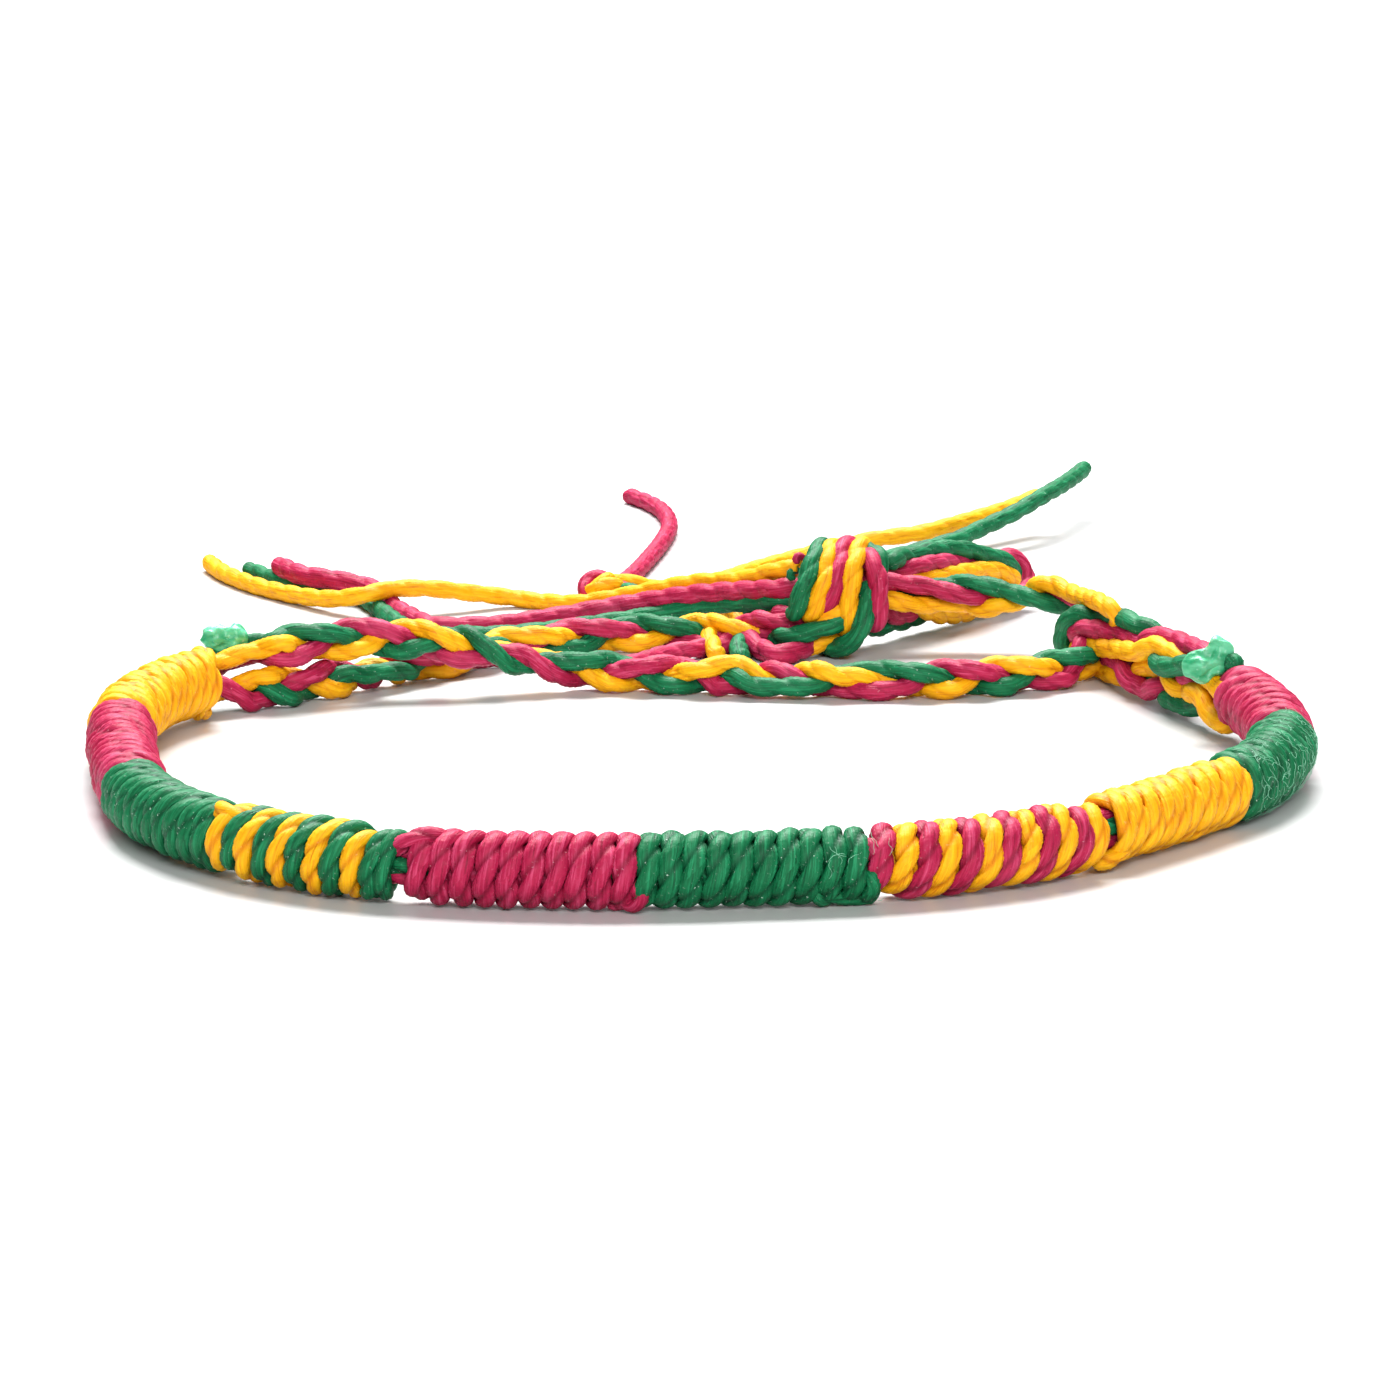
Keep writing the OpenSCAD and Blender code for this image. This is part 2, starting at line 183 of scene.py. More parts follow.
class Socket:
    """A number that varies over a surface, so that shader maths reads as plain sums."""

    def __init__(self, shop, socket):
        self.shop = shop
        self.socket = socket

    def maths(self, operation, *values, clamp=False):
        return self.shop.node(
            "ShaderNodeMath",
            {"operation": operation, "use_clamp": clamp},
            dict(enumerate(values)),
        )

    def __add__(self, other):
        return self.maths("ADD", self, other)

    __radd__ = __add__

    def __sub__(self, other):
        return self.maths("SUBTRACT", self, other)

    def __rsub__(self, other):
        return self.maths("SUBTRACT", other, self)

    def __mul__(self, other):
        return self.maths("MULTIPLY", self, other)

    __rmul__ = __mul__

    def clamped(self):
        return self.maths("ADD", self, 0.0, clamp=True)

    def step(self, low, high):
        """0 below low, 1 above high and a soft step between them."""
        return self.shop.node(
            "ShaderNodeMapRange",
            {"interpolation_type": "SMOOTHSTEP"},
            {"Value": self, "From Min": low, "From Max": high},
        )


class Finish:
    """One material: the surface shader, and the nodes that feed it."""

    def __init__(self, name, **constants):
        self.material = bpy.data.materials.new(name)
        self.material.use_nodes = True
        self.tree = self.material.node_tree
        self.shader = self.tree.nodes["Principled BSDF"]
        for label, value in constants.items():
            self.shader.inputs[label.replace("_", " ")].default_value = value

    def node(self, kind, settings=None, inputs=None, output=0):
        made = self.tree.nodes.new(kind)
        for label, value in (settings or {}).items():
            setattr(made, label, value)
        for label, value in (inputs or {}).items():
            self.feed(made.inputs[label], value)
        return Socket(self, made.outputs[output])

    def feed(self, socket, value):
        if isinstance(value, Socket):
            self.tree.links.new(value.socket, socket)
        else:
            socket.default_value = value

    def set(self, label, value):
        self.feed(self.shader.inputs[label], value)

    def mix(self, amount, first, second):
        """From the first colour to the second one."""
        return self.node(
            "ShaderNodeMix",
            {"data_type": "RGBA"},
            {"Factor": amount, MIX_FIRST: first, MIX_SECOND: second},
            output=MIX_RESULT,
        )

    def place(self, source, stretch):
        """Object or UV coordinates, stretched."""
        where = self.node("ShaderNodeTexCoord", output=source)
        return self.node(
            "ShaderNodeVectorMath",
            {"operation": "MULTIPLY"},
            {0: where, 1: stretch},
        )

    def noise(self, where, detail, roughness=0.5):
        return self.node(
            "ShaderNodeTexNoise",
            {},
            {"Vector": where, "Scale": 1.0, "Detail": detail, "Roughness": roughness},
            output="Fac",
        )

    def attribute(self, name):
        return self.node(
            "ShaderNodeAttribute",
            {"attribute_name": name, "attribute_type": "GEOMETRY"},
            output="Fac",
        )

    def bump(self, height, distance, strength):
        self.set(
            "Normal",
            self.node(
                "ShaderNodeBump",
                {},
                {"Height": height, "Distance": distance, "Strength": strength},
            ),
        )


def rgb(red, green, blue):
    """A colour as seen on screen, 0 to 255, made linear."""

    def linear(value):
        value /= 255
        return value / 12.92 if value < 0.04045 else ((value + 0.055) / 1.055) ** 2.4

    return (linear(red), linear(green), linear(blue), 1.0)


def waxed_cord(name, body, deep, light, wax, wax_amount):
    """Two-ply waxed cord: fine lengthwise fibres, painted shade between the plies, with wax
    specks.
    """
    finish = Finish(name, Specular_IOR_Level=0.16, Coat_Roughness=0.35)
    fibres = finish.noise(finish.place("UV", (16.0, 0.3, 1.0)), detail=3.0)
    threads = finish.noise(finish.place("UV", (44.0, 0.7, 1.0)), detail=2.0)
    patches = finish.noise(finish.place("Object", (260.0, 260.0, 260.0)), detail=2.0)
    lumps = finish.noise(finish.place("UV", (3.0, 1.6, 1.0)), detail=2.0)
    specks = finish.noise(finish.place("UV", (14.0, 5.0, 1.0)), detail=4.0, roughness=0.7)
    crown = finish.attribute("crown")
    streaks = fibres * 0.55 + threads * 0.45
    tone = finish.mix(streaks.step(0.32, 0.5) * 0.75 + 0.25, deep, body)
    tone = finish.mix(streaks.step(0.48, 0.66) * 0.6, tone, light)
    # Painted shade: the colour turns towards the deep one where the crown is low, in the grooves
    # between the plies and on the side that faces the band
    tone = finish.mix((1.0 - crown.step(0.0, 0.6)) * 0.6, tone, deep)
    tone = finish.mix(patches.step(0.5, 0.8) * 0.25, tone, light)
    waxed = specks.step(0.62, 0.7) * (1.2 - crown) * wax_amount
    finish.set("Base Color", finish.mix(waxed.clamped(), tone, wax))
    finish.set("Roughness", (0.38 + streaks * 0.3 + waxed * 0.2).clamped())
    finish.set("Coat Weight", (patches * 0.05).clamped())
    finish.bump(streaks + specks * 0.25 + lumps * 1.2, 0.00015, 0.7)
    return finish.material


def loose_fibre():
    """Pale waxed fibres that stand out of the cord."""
    finish = Finish("loose fibre", Roughness=0.5, Specular_IOR_Level=0.3)
    finish.set("Base Color", rgb(128, 192, 160))
    return finish.material


# Colours of each cord's body, its deep tone for darker fibres and painted shade in the grooves,
# light streaks and wax, and how much wax it has
CORD_COLOURS = {
    "yellow": (rgb(234, 164, 6), rgb(190, 96, 0), rgb(250, 200, 30), rgb(255, 240, 190), 0.25),
    "pink": (rgb(166, 24, 66), rgb(104, 6, 34), rgb(214, 84, 124), rgb(250, 200, 210), 0.35),
    "green": (rgb(8, 98, 58), rgb(3, 50, 30), rgb(40, 150, 100), rgb(214, 238, 222), 0.8),
}
CORD_FINISHES = {"fibre": loose_fibre()}
for cord_colour, cord_looks in CORD_COLOURS.items():
    CORD_FINISHES[cord_colour] = waxed_cord(f"waxed {cord_colour} cord", *cord_looks)

# Twisted cord

# Half of the section of a two-ply cord, as degrees and radius: half of a soft ply from 0 to 90
# degrees and half of the next from there, with a narrow groove between them
PLY_HALF = [
    (0, 0.575), (30, 0.56), (54, 0.51), (73, 0.44), (90, 0.39), (107, 0.44), (126, 0.51),
    (150, 0.56),
]
SIDES = 2 * len(PLY_HALF)
ROUND = np.radians([a + half for half in (0, 180) for a, _ in PLY_HALF])
ROUND_NEXT = np.append(ROUND[1:], 2 * math.pi)
LOBES = np.array([r for _, r in PLY_HALF] * 2)
# How far each side stands out, from 0 in the groove to 1 on a ply's crown; it sets where the
# cord's finish paints shade and puts wax specks
CROWN = (LOBES - LOBES.min()) / (LOBES.max() - LOBES.min())
# Radius of a cord whose plies don't stand out
ROUND_RADIUS = 0.53
# Lowest place for a cord's skin, just above the surface
SKIN_Z = 0.01
# Shifts each cord of a piece along the pattern, so that no two look alike
PATTERN_SHIFT = 37.3


def carried_normals(tangents):
    """A sideways direction at each point that turns no more than the line does."""
    first = np.cross(tangents[0], (0.3, 0.2, 0.93))
    normals = [first / np.linalg.norm(first)]
    for t in tangents[1:]:
        n = normals[-1] - t * np.dot(normals[-1], t)
        normals.append(n / np.linalg.norm(n))
    return np.array(normals)


class CordPiece:
    """Twisted cords, gathered into one mesh."""

    def __init__(self):
        self.points = []
        self.faces = []
        self.uvs = []
        self.crowns = []
        self.cords = []
        self.count = 0

    def add(
        self, line, colour, turn=0.0, size=1.0, lobed=1.0, press=None, squeeze=1.0, uneven=0.0
    ):
        """lobed tells how far the plies stand out, press holds the directions in which the cord
        is pressed flat by the factor squeeze, and uneven how far its twist strays."""
        line = np.asarray(line, float)
        tangents = directions(line)
        s = along(line)
        n1 = carried_normals(tangents)
        n2 = np.cross(tangents, n1)
        twist = turn + 2 * math.pi * s / PLY_PITCH + uneven
        angle = twist[:, None] + ROUND[None, :]
        section = ROUND_RADIUS + lobed * (LOBES - ROUND_RADIUS)
        radius = np.tile(section * size, (len(line), 1))
        # Both ends are rounded off
        ends = np.clip(np.minimum(s, s[-1] - s) / (0.5 * size), 0.0, 1.0)
        radius *= np.sqrt(1 - 0.85 * (1 - ends) ** 2)[:, None]
        offset = (
            radius[:, :, None] * np.cos(angle)[:, :, None] * n1[:, None, :]
            + radius[:, :, None] * np.sin(angle)[:, :, None] * n2[:, None, :]
        )
        rows = len(line)
        # Low where the plies meet, where the cord's finish paints shade
        crown = np.tile(1 - min(lobed, 1.0) * (1 - CROWN), (rows, 1))
        if press is not None:
            across = np.cross(tangents, press)
            outward = np.einsum("ijk,ik->ij", offset, press)
            sideways = np.einsum("ijk,ik->ij", offset, across)
            offset = offset + outward[:, :, None] * (squeeze - 1) * press[:, None, :]
            offset = offset + sideways[:, :, None] * (1 / squeeze - 1) * across[:, None, :]
            # The side that faces the band counts as a groove, so the cord's finish paints shade
            # on it as well
            crown = crown * np.clip(0.35 + 1.3 * outward / radius, 0.0, 1.0)
        rings = line[:, None, :] + offset
        rings[:, :, 2] = np.maximum(rings[:, :, 2], SKIN_Z)
        i = np.arange(rows - 1)[:, None]
        k = np.arange(SIDES)[None, :]
        after = (k + 1) % SIDES
        quads = np.stack(
            [
                i * SIDES + k,
                i * SIDES + after,
                (i + 1) * SIDES + after,
                (i + 1) * SIDES + k,
            ],
            axis=-1,
        ).reshape(-1, 4)
        here, ahead = twist[:-1, None], twist[1:, None]
        u = np.stack(
            [here + ROUND, here + ROUND_NEXT, ahead + ROUND_NEXT, ahead + ROUND],
            axis=-1,
        ) / (2 * math.pi)
        near, far = (np.repeat(part[:, None], SIDES, 1) for part in (s[:-1], s[1:]))
        v = np.stack([near, near, far, far], axis=-1) + PATTERN_SHIFT * len(self.cords)
        self.points.append(rings.reshape(-1, 3))
        self.crowns.append(crown.ravel())
        self.faces.append(quads + self.count)
        self.uvs.append(np.stack([u, v], axis=-1).reshape(-1, 4, 2))
        self.cords.append((len(quads), colour, self.count, rows))
        self.count += rows * SIDES

    def build(self, name):
        points = np.concatenate(self.points) * MM
        quads = np.concatenate(self.faces)
        uvs = np.concatenate(self.uvs).reshape(-1, 2)
        order = sorted({colour for _, colour, _, _ in self.cords})
        quad_slots = np.concatenate(
            [np.full(number, order.index(colour)) for number, colour, _, _ in self.cords]
        )
        caps = []
        cap_slots = []
        for _, colour, base, rows in self.cords:
            caps.append(base + np.arange(SIDES)[::-1])
            caps.append(base + (rows - 1) * SIDES + np.arange(SIDES))
            cap_slots += [order.index(colour)] * 2
        loops = np.concatenate([quads.ravel(), np.concatenate(caps)])
        cap_starts = len(quads) * 4 + np.arange(len(caps)) * SIDES
        starts = np.concatenate([np.arange(len(quads)) * 4, cap_starts])
        totals = np.concatenate([np.full(len(quads), 4), np.full(len(caps), SIDES)])
        slots = np.concatenate([quad_slots, cap_slots])
        mesh = bpy.data.meshes.new(name)
        mesh.vertices.add(len(points))
        mesh.vertices.foreach_set("co", points.ravel())
        mesh.loops.add(len(loops))
        mesh.loops.foreach_set("vertex_index", loops.astype(np.int32))
        mesh.polygons.add(len(starts))
        mesh.polygons.foreach_set("loop_start", starts.astype(np.int32))
        mesh.polygons.foreach_set("loop_total", totals.astype(np.int32))
        mesh.polygons.foreach_set("material_index", slots.astype(np.int32))
        mesh.polygons.foreach_set("use_smooth", np.ones(len(starts), bool))
        layer = mesh.uv_layers.new(name="around and along")
        cap_uv = np.tile([[0.5, 0.5]], (len(caps) * SIDES, 1))
        layer.data.foreach_set("uv", np.concatenate([uvs, cap_uv]).ravel())
        crown = mesh.attributes.new("crown", "FLOAT", "POINT")
        crown.data.foreach_set("value", np.concatenate(self.crowns))
        mesh.update(calc_edges=True)
        mesh.validate()
        for colour in order:
            mesh.materials.append(CORD_FINISHES[colour])
        piece = bpy.data.objects.new(name, mesh)
        scene.collection.objects.link(piece)
        return piece


def stand_for(piece, node):
    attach(piece, "root")
    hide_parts(node)


# Loose ends

# Thickness of the loose ends, as a factor: the left pink one is thicker than the others
TAIL_SIZE = 1.13
THICK_TAIL_SIZE = 1.3


def make_tail(node):
    route = smooth_line(TAIL_ROUTES[node])
    colour = node.rpartition("_")[2]
    size = THICK_TAIL_SIZE if node == "tail_left_pink" else TAIL_SIZE
    tail = CordPiece()
    tail.add(route, colour, size=size, lobed=0.5)
    piece = tail.build(node.replace("tail", "loose_end"))
    stand_for(piece, node)


for tail_node in TAIL_ROUTES:
    make_tail(tail_node)

# Wrapped band

# Length along the band, turn to the left in degrees, and rise, from the left end
SECTIONS = [
    (14.2, 38.7, -0.315),
    (16.8, 7.4, -0.135),
    (13.3, 30.5, 0.0),
    (12.3, 31.0, 0.0),
    (12.2, 19.9, 0.0),
    (11.9, 10.3, 0.0),
    (14.8, 35.6, 0.0),
    (13.7, 8.1, 0.0),
    (13.8, 28.9, 0.0),
    (10.4, 22.4, 0.65),
]
# The front section and where it starts, from which the others are placed
FRONT = 5
FRONT_POINT = np.array([-3.2, -43.5, 2.14])
FRONT_HEADING = math.radians(3.0)


def section_starts():
    """Start point and heading of each section, worked out both ways from the front one."""
    headings = [0.0] * (len(SECTIONS) + 1)
    headings[FRONT] = FRONT_HEADING
    for i in range(FRONT, len(SECTIONS)):
        headings[i + 1] = headings[i] + math.radians(SECTIONS[i][1])
    for i in range(FRONT, 0, -1):
        headings[i - 1] = headings[i] - math.radians(SECTIONS[i - 1][1])
    chords = []
    for (length, turn, rise), a, b in zip(SECTIONS, headings, headings[1:]):
        radius = length / math.radians(turn)
        x = radius * (math.sin(b) - math.sin(a))
        y = radius * (math.cos(a) - math.cos(b))
        chords.append(np.array([x, y, rise]))
    starts = [None] * (len(SECTIONS) + 1)
    starts[FRONT] = FRONT_POINT
    for i in range(FRONT, len(SECTIONS)):
        starts[i + 1] = starts[i] + chords[i]
    for i in range(FRONT, 0, -1):
        starts[i - 1] = starts[i] - chords[i - 1]
    return starts, headings


SECTION_STARTS, SECTION_HEADINGS = section_starts()


def band_frame(i, s):
    """Points on the middle line of section i at the distances s, with the directions inwards
    and up."""
    length, turn, rise = SECTIONS[i]
    turn = math.radians(turn)
    radius = length / turn
    part = np.asarray(s, float) / length
    a = SECTION_HEADINGS[i]
    h = a + part * turn
    x = radius * (np.sin(h) - math.sin(a))
    y = radius * (math.cos(a) - np.cos(h))
    points = SECTION_STARTS[i] + np.column_stack([x, y, rise * part])
    tangent = np.column_stack([np.cos(h), np.sin(h), np.full_like(h, rise / length)])
    tangent /= np.linalg.norm(tangent, axis=1)[:, None]
    inward = np.column_stack([-np.sin(h), np.cos(h), np.zeros_like(h)])
    up = np.cross(tangent, inward)
    return points, inward, up


def outwards(angle, inward, up):
    """Directions away from the band's middle line, at angles from its underside over its
    outside to its top."""
    return -np.cos(angle)[:, None] * up - np.sin(angle)[:, None] * inward


def over_band(i, s, turn, radius):
    """Points round section i at distances along it, turns and radii, and the directions
    outwards there. Turns count from the underside over the outside to the top."""
    points, inward, up = band_frame(i, s)
    outward = outwards(2 * math.pi * turn, inward, up)
    return points + outward * radius[:, None], outward


def wander(count, reach, rng, knots):
    """A slow random change along a cord."""
    where = np.linspace(0, 1, count)
    values = [rng.uniform(-reach, reach) for _ in range(knots)]
    return np.interp(where, np.linspace(0, 1, knots), values)


# Radius at which the cords are wound, and the turn that crosses the band's outside
WRAP_RADIUS = 1.57
OUTSIDE = 0.25
# Over how much of a turn, and how deep, both ends of a wound cord sink into the band
SINK_TURNS = 0.35
SINK_DEPTH = 0.8
# Width of a wound cord before it is pressed flat, and after that as a factor of the distance
# to the next one
CORD_WIDTH = 1.11
PRESSED_WIDTH = 1.1
# Lowest place for the middle of a wound cord's end
END_Z = 0.56
# Distance between two rings of what lies inside the wraps
INNER_STEP = 0.4


def wrap_cord(i, middle, pitch, first, last, rng):
    """A cord wound round the band, from turn first to turn last, which first crosses the
    outside at the distance middle."""
    count = int((last - first) * 2 * math.pi * WRAP_RADIUS / RING_STEP)
    turn = np.linspace(first, last, count)
    knots = int(last - first) * 3 + 3
    s = middle + pitch * (turn - OUTSIDE) + wander(count, 0.08, rng, knots)
    radius = WRAP_RADIUS + wander(count, 0.05, rng, knots)
    begun = np.clip(1 - (turn - first) / SINK_TURNS, 0, 1)
    ended = np.clip(1 - (last - turn) / SINK_TURNS, 0, 1)
    radius = radius - SINK_DEPTH * begun**1.5 - SINK_DEPTH * ended**1.5
    return over_band(i, s, turn, radius)


# Section, colours of the cords wound side by side, from and to along the section, turns seen
# from outside, and turns before the first and after the last of them
WRAPS = {
    "wrap_left_yellow": (0, ["yellow"], -0.1, 14.0, 12, 0.45, 0.5),
    "wrap_left_pink": (1, ["pink"], 0.1, 16.7, 14, 0.45, 0.5),
    "wrap_left_green": (2, ["green"], 0.1, 13.7, 11, 0.45, 0.5),
    "stripes_green_yellow": (3, ["yellow", "green"], 0.5, 11.25, 10, 0.35, 0.4),
    "wrap_front_pink": (4, ["pink"], 0.3, 12.0, 10, 0.45, 0.95),
    "wrap_front_green": (5, ["green"], -0.3, 11.75, 10, 0.45, 0.5),
    "stripes_pink_yellow": (6, ["pink", "yellow"], -0.05, 14.2, 12, 0.35, 0.4),
    "wrap_right_yellow": (7, ["yellow"], 0.45, 13.5, 10, 0.6, 0.5),
    "wrap_right_green": (8, ["green"], 0.1, 13.7, 12, 0.45, 0.5),
    "wrap_right_pink": (9, ["pink"], 0.1, 11.15, 9, 0.45, 0.5),
}
# Ends of the wound cords: points as a distance along the section, a turn and a radius
WRAP_ENDS = [
    ("wrap_left_yellow", "yellow", [
        (1.6, -0.1, 1.5), (0.9, -0.03, 1.9), (0.0, 0.0, 1.9), (-0.8, 0.06, 1.8), (-1.0, 0.2, 1.7),
        (-0.8, 0.36, 1.65), (-0.3, 0.5, 1.5), (0.4, 0.65, 1.1),
    ]),
    ("stripes_green_yellow", "yellow", [
        (-0.6, 0.55, 1.1), (0.1, 0.46, 1.55), (0.9, 0.44, 1.75), (1.9, 0.45, 1.7),
        (2.6, 0.5, 1.4),
    ]),
    ("stripes_green_yellow", "green", [
        (10.9, -0.1, 1.0), (11.0, 0.0, 1.5), (11.25, 0.15, 1.58), (11.45, 0.3, 1.58),
        (11.75, 0.45, 1.5), (12.0, 0.6, 1.0),
    ]),
    ("wrap_front_pink", "pink", [
        (10.5, 0.04, 1.6), (11.2, 0.03, 1.9), (11.8, 0.07, 1.9), (12.2, 0.14, 1.7),
        (12.0, 0.22, 1.5),
    ]),
    ("wrap_front_pink", "pink", [
        (-0.9, 0.38, 1.2), (-0.2, 0.4, 1.45), (0.5, 0.42, 1.8), (1.3, 0.45, 1.75),
        (2.1, 0.52, 1.4),
    ]),
    ("wrap_front_green", "green", [
        (9.0, 0.12, 1.5), (9.8, 0.06, 1.85), (10.9, 0.05, 1.95), (11.8, 0.07, 1.9),
        (12.1, 0.16, 1.7), (11.7, 0.24, 1.5),
    ]),
    ("wrap_front_green", "pink", [(11.7, 0.42, 1.5), (12.0, 0.36, 1.55), (12.3, 0.3, 1.3)]),
    ("wrap_right_yellow", "yellow", [
        (-0.9, 0.08, 1.55), (-0.2, 0.1, 1.75), (0.5, 0.12, 1.8), (1.2, 0.13, 1.6),
        (1.7, 0.14, 1.3),
    ]),
]

# How many fibres stand out of a section, from and to along it
LOOSE_FIBRES = {
    "wrap_right_green": (150, 0.3, 13.4),
    "wrap_front_green": (8, 9.4, 11.3),
    "stripes_pink_yellow": (5, 0.0, 1.2),
}
# Radius at which the fibres lie and the way round there, and length of one of their five parts
FIBRE_RADIUS = 2.1
FIBRE_ROUND = 13
FIBRE_PART = 0.22
FIBRE_POINTS = 6


def path_over_band(i, path, step=RING_STEP):
    """A smooth line through points that are given as distance, turn and radius."""
    return smooth_line(over_band(i, *np.array(path, float).T)[0], step)


def fibre_path(i, begin, finish, rng):
    """A short fibre wandering over section i."""
    s, turn = rng.uniform(begin, finish), rng.uniform(0.02, 0.5)
    heading = rng.uniform(0, 2 * math.pi)
    path = []
    for _ in range(FIBRE_POINTS):
        path.append((s, turn, FIBRE_RADIUS + rng.uniform(-0.06, 0.08)))
        s += FIBRE_PART * math.cos(heading)
        turn += FIBRE_PART * math.sin(heading) / FIBRE_ROUND
        heading += rng.uniform(-0.9, 0.9)
    return path_over_band(i, path, 0.15)


def make_wraps(node, i, colours, begin, finish, turns, before, after):
    rng = random.Random(node)
    section = CordPiece()
    pitch = (finish - begin) / turns
    for k, colour in enumerate(colours):
        line, press = wrap_cord(
            i,
            begin + pitch * (k + 0.5),
            pitch * len(colours),
            OUTSIDE - before,
            turns / len(colours) - (1 - OUTSIDE) + after,
            rng,
        )
        section.add(
            line,
            colour,
            turn=rng.uniform(0, 6),
            size=1.03,
            lobed=1.15,
            press=press,
            squeeze=CORD_WIDTH / pitch / PRESSED_WIDTH,
            uneven=wander(len(line), 0.9, rng, 2 * turns),
        )
    for owner, colour, path in WRAP_ENDS:
        if owner == node:
            line = path_over_band(i, path)
            line[:, 2] = np.maximum(line[:, 2], END_Z)
            section.add(line, colour, turn=rng.uniform(0, 6), size=0.95)
    # A plain filling closes the gaps between the turns
    inside = np.arange(begin + 0.5, finish - 0.5, INNER_STEP)
    section.add(band_frame(i, inside)[0], colours[-1], size=2.55, lobed=0.0)
    number, low, high = LOOSE_FIBRES.get(node, (0, 0, 1))
    for _ in range(number):
        section.add(fibre_path(i, low, high, rng), "fibre", size=0.018, lobed=0.0)
    piece = section.build(node.replace("wrap_", "wraps_"))
    stand_for(piece, node)


for wrap_node, facts in WRAPS.items():
    make_wraps(wrap_node, *facts)

CORE_COLOURS = ["pink", "green", "pink", "yellow", "green", "yellow"]
CORE_RADIUS = 0.75


def make_core():
    """The bundle of cords inside the wraps, which turns a little along the band."""
    core = CordPiece()
    rows = [
        band_frame(i, np.arange(0, length, INNER_STEP))
        for i, (length, _, _) in enumerate(SECTIONS)
    ]
    points, inward, up = [np.concatenate([r[k] for r in rows]) for k in range(3)]
    for k, colour in enumerate(CORE_COLOURS):
        angle = 2 * math.pi * (k / len(CORE_COLOURS) + 0.09)
        angle = angle + np.linspace(-0.3, 0.5, len(points))
        line = points + outwards(angle, inward, up) * CORE_RADIUS
        core.add(line, colour, turn=k, size=0.9)
    stand_for(core.build("core_bundle"), "core_cords")


make_core()

# Braids

# The way that the photograph looks
AWAY = np.array([0.0, 0.981, -0.191])
# How far a strand strays from the middle of its braid, across and in depth
HALF_WIDTH = 0.64
HALF_DEPTH = 0.42


def braid_strands(
    route, colours, plait, rolls, before=None, after=None, since=0.0, until=None, flat=False
):
    """Three strands plaited along the route, as seen from its right side.

    plait holds distances along the route with the plait's phase there in degrees, and rolls
    distances with how far the braid has rolled over. A strand is at the braid's upper edge
    where the phase plus its own third of a turn is 90. The plait is kept from since to until,
    and before and after hold each colour's own points ahead of it and behind it."""
    middle = smooth_line(route, 0.3)
    tangents = directions(middle)
    up = np.array([0.0, 0.0, 1.0]) - tangents * tangents[:, 2:3]
    up /= np.linalg.norm(up, axis=1)[:, None]
    right = np.cross(tangents, up)
    if flat:
        up, right = right, up
    s = along(middle)
    phase = np.radians(np.interp(s, *zip(*plait)))
    roll = np.radians(np.interp(s, *zip(*rolls)))
    # The braid is narrow where it starts
    spread = HALF_WIDTH * np.clip(0.35 + s / 8, 0, 1)
    kept = (s >= since) & (s <= (until or s[-1]))
    strands = []
    for k, colour in enumerate(colours):
        p = phase + 2 * math.pi * k / 3
        lift = spread * np.sin(p)
        near = -HALF_DEPTH * np.sin(2 * p)
        line = (
            middle
            + up * (np.cos(roll) * lift - np.sin(roll) * near)[:, None]
            + right * (np.sin(roll) * lift + np.cos(roll) * near)[:, None]
        )[kept]
        if before:
            line = smooth_line(before[colour] + list(line[::3]) + after[colour])
        strands.append((evenly(line), colour))
    return strands


# How strands are eased apart: the rounds, how much of a push across the view is kept, over
# how many points a push is softened and an end is held, and the lowest place for a strand's
# middle
EASING_ROUNDS = 100
SIDEWAYS = 0.2
SOFTENED = 17
HELD = 6
STRAND_Z = 0.62


def eased_apart(strands, gap=0.92):
    """The strands moved until they lie side by side instead of through each other.

    They move mostly away from or towards the viewer, and each strand's two ends stay. gap is
    the distance that their middle lines should keep."""
    lines = [line for line, _ in strands]
    kernel = np.hanning(SOFTENED)
    kernel /= kernel.sum()
    for _ in range(EASING_ROUNDS):
        pushes = []
        for i, line in enumerate(lines):
            push = np.zeros_like(line)
            for other in lines[:i] + lines[i + 1 :]:
                apart = line[:, None] - other[None]
                distance = np.linalg.norm(apart, axis=2)
                nearest = (np.arange(len(line)), distance.argmin(axis=1))
                near = distance[nearest][:, None]
                away = apart[nearest] / np.maximum(near, 0.01)
                push += away * 0.5 * np.clip(gap - near, 0, None)
            deep = (push @ AWAY)[:, None] * AWAY
            push = deep + (push - deep) * SIDEWAYS
            push = np.column_stack([np.convolve(push[:, k], kernel, "same") for k in range(3)])
            count = np.arange(len(line))
            from_end = np.minimum(count, count[::-1])
            pushes.append(0.5 * push * np.clip(from_end / HELD, 0, 1)[:, None])
        lines = [line + push for line, push in zip(lines, pushes)]
        for line in lines:
            line[:, 2] = np.maximum(line[:, 2], STRAND_Z)
    return [(line, colour) for line, (_, colour) in zip(lines, strands)]


def make_braid(name, node, strands, size=1.12, lobed=0.7):
    """A piece of strands, each a line with its colour and, if it differs, its thickness."""
    braid = CordPiece()
    for k, (line, colour, *own) in enumerate(strands):
        width = own[0] if own else size
        line[:, 2] = np.maximum(line[:, 2], 0.58 * width)
        braid.add(line, colour, turn=k * 1.7, size=width, lobed=lobed)
    stand_for(braid.build(name), node)


# Both ties' strands where they leave the band
TIE_A_START = {
    "yellow": [
        (-31.1, 6.6, 2.9), (-30.6, 8.2, 2.9), (-29.83, 9.4, 2.9), (-28.88, 9.8, 3.2),
        (-27.86, 10.1, 3.52), (-26.84, 10.4, 3.71),
    ],
    "pink": [
        (-31.0, 6.8, 2.5), (-30.6, 8.8, 2.5), (-29.79, 10.4, 2.6), (-28.24, 11.0, 3.1),
        (-26.79, 11.3, 3.25),
    ],
    "green": [
        (-31.2, 7.0, 3.0), (-30.7, 9.2, 3.0), (-29.79, 10.8, 3.0), (-28.25, 11.4, 3.3),
        (-26.79, 11.7, 3.6),
    ],
}
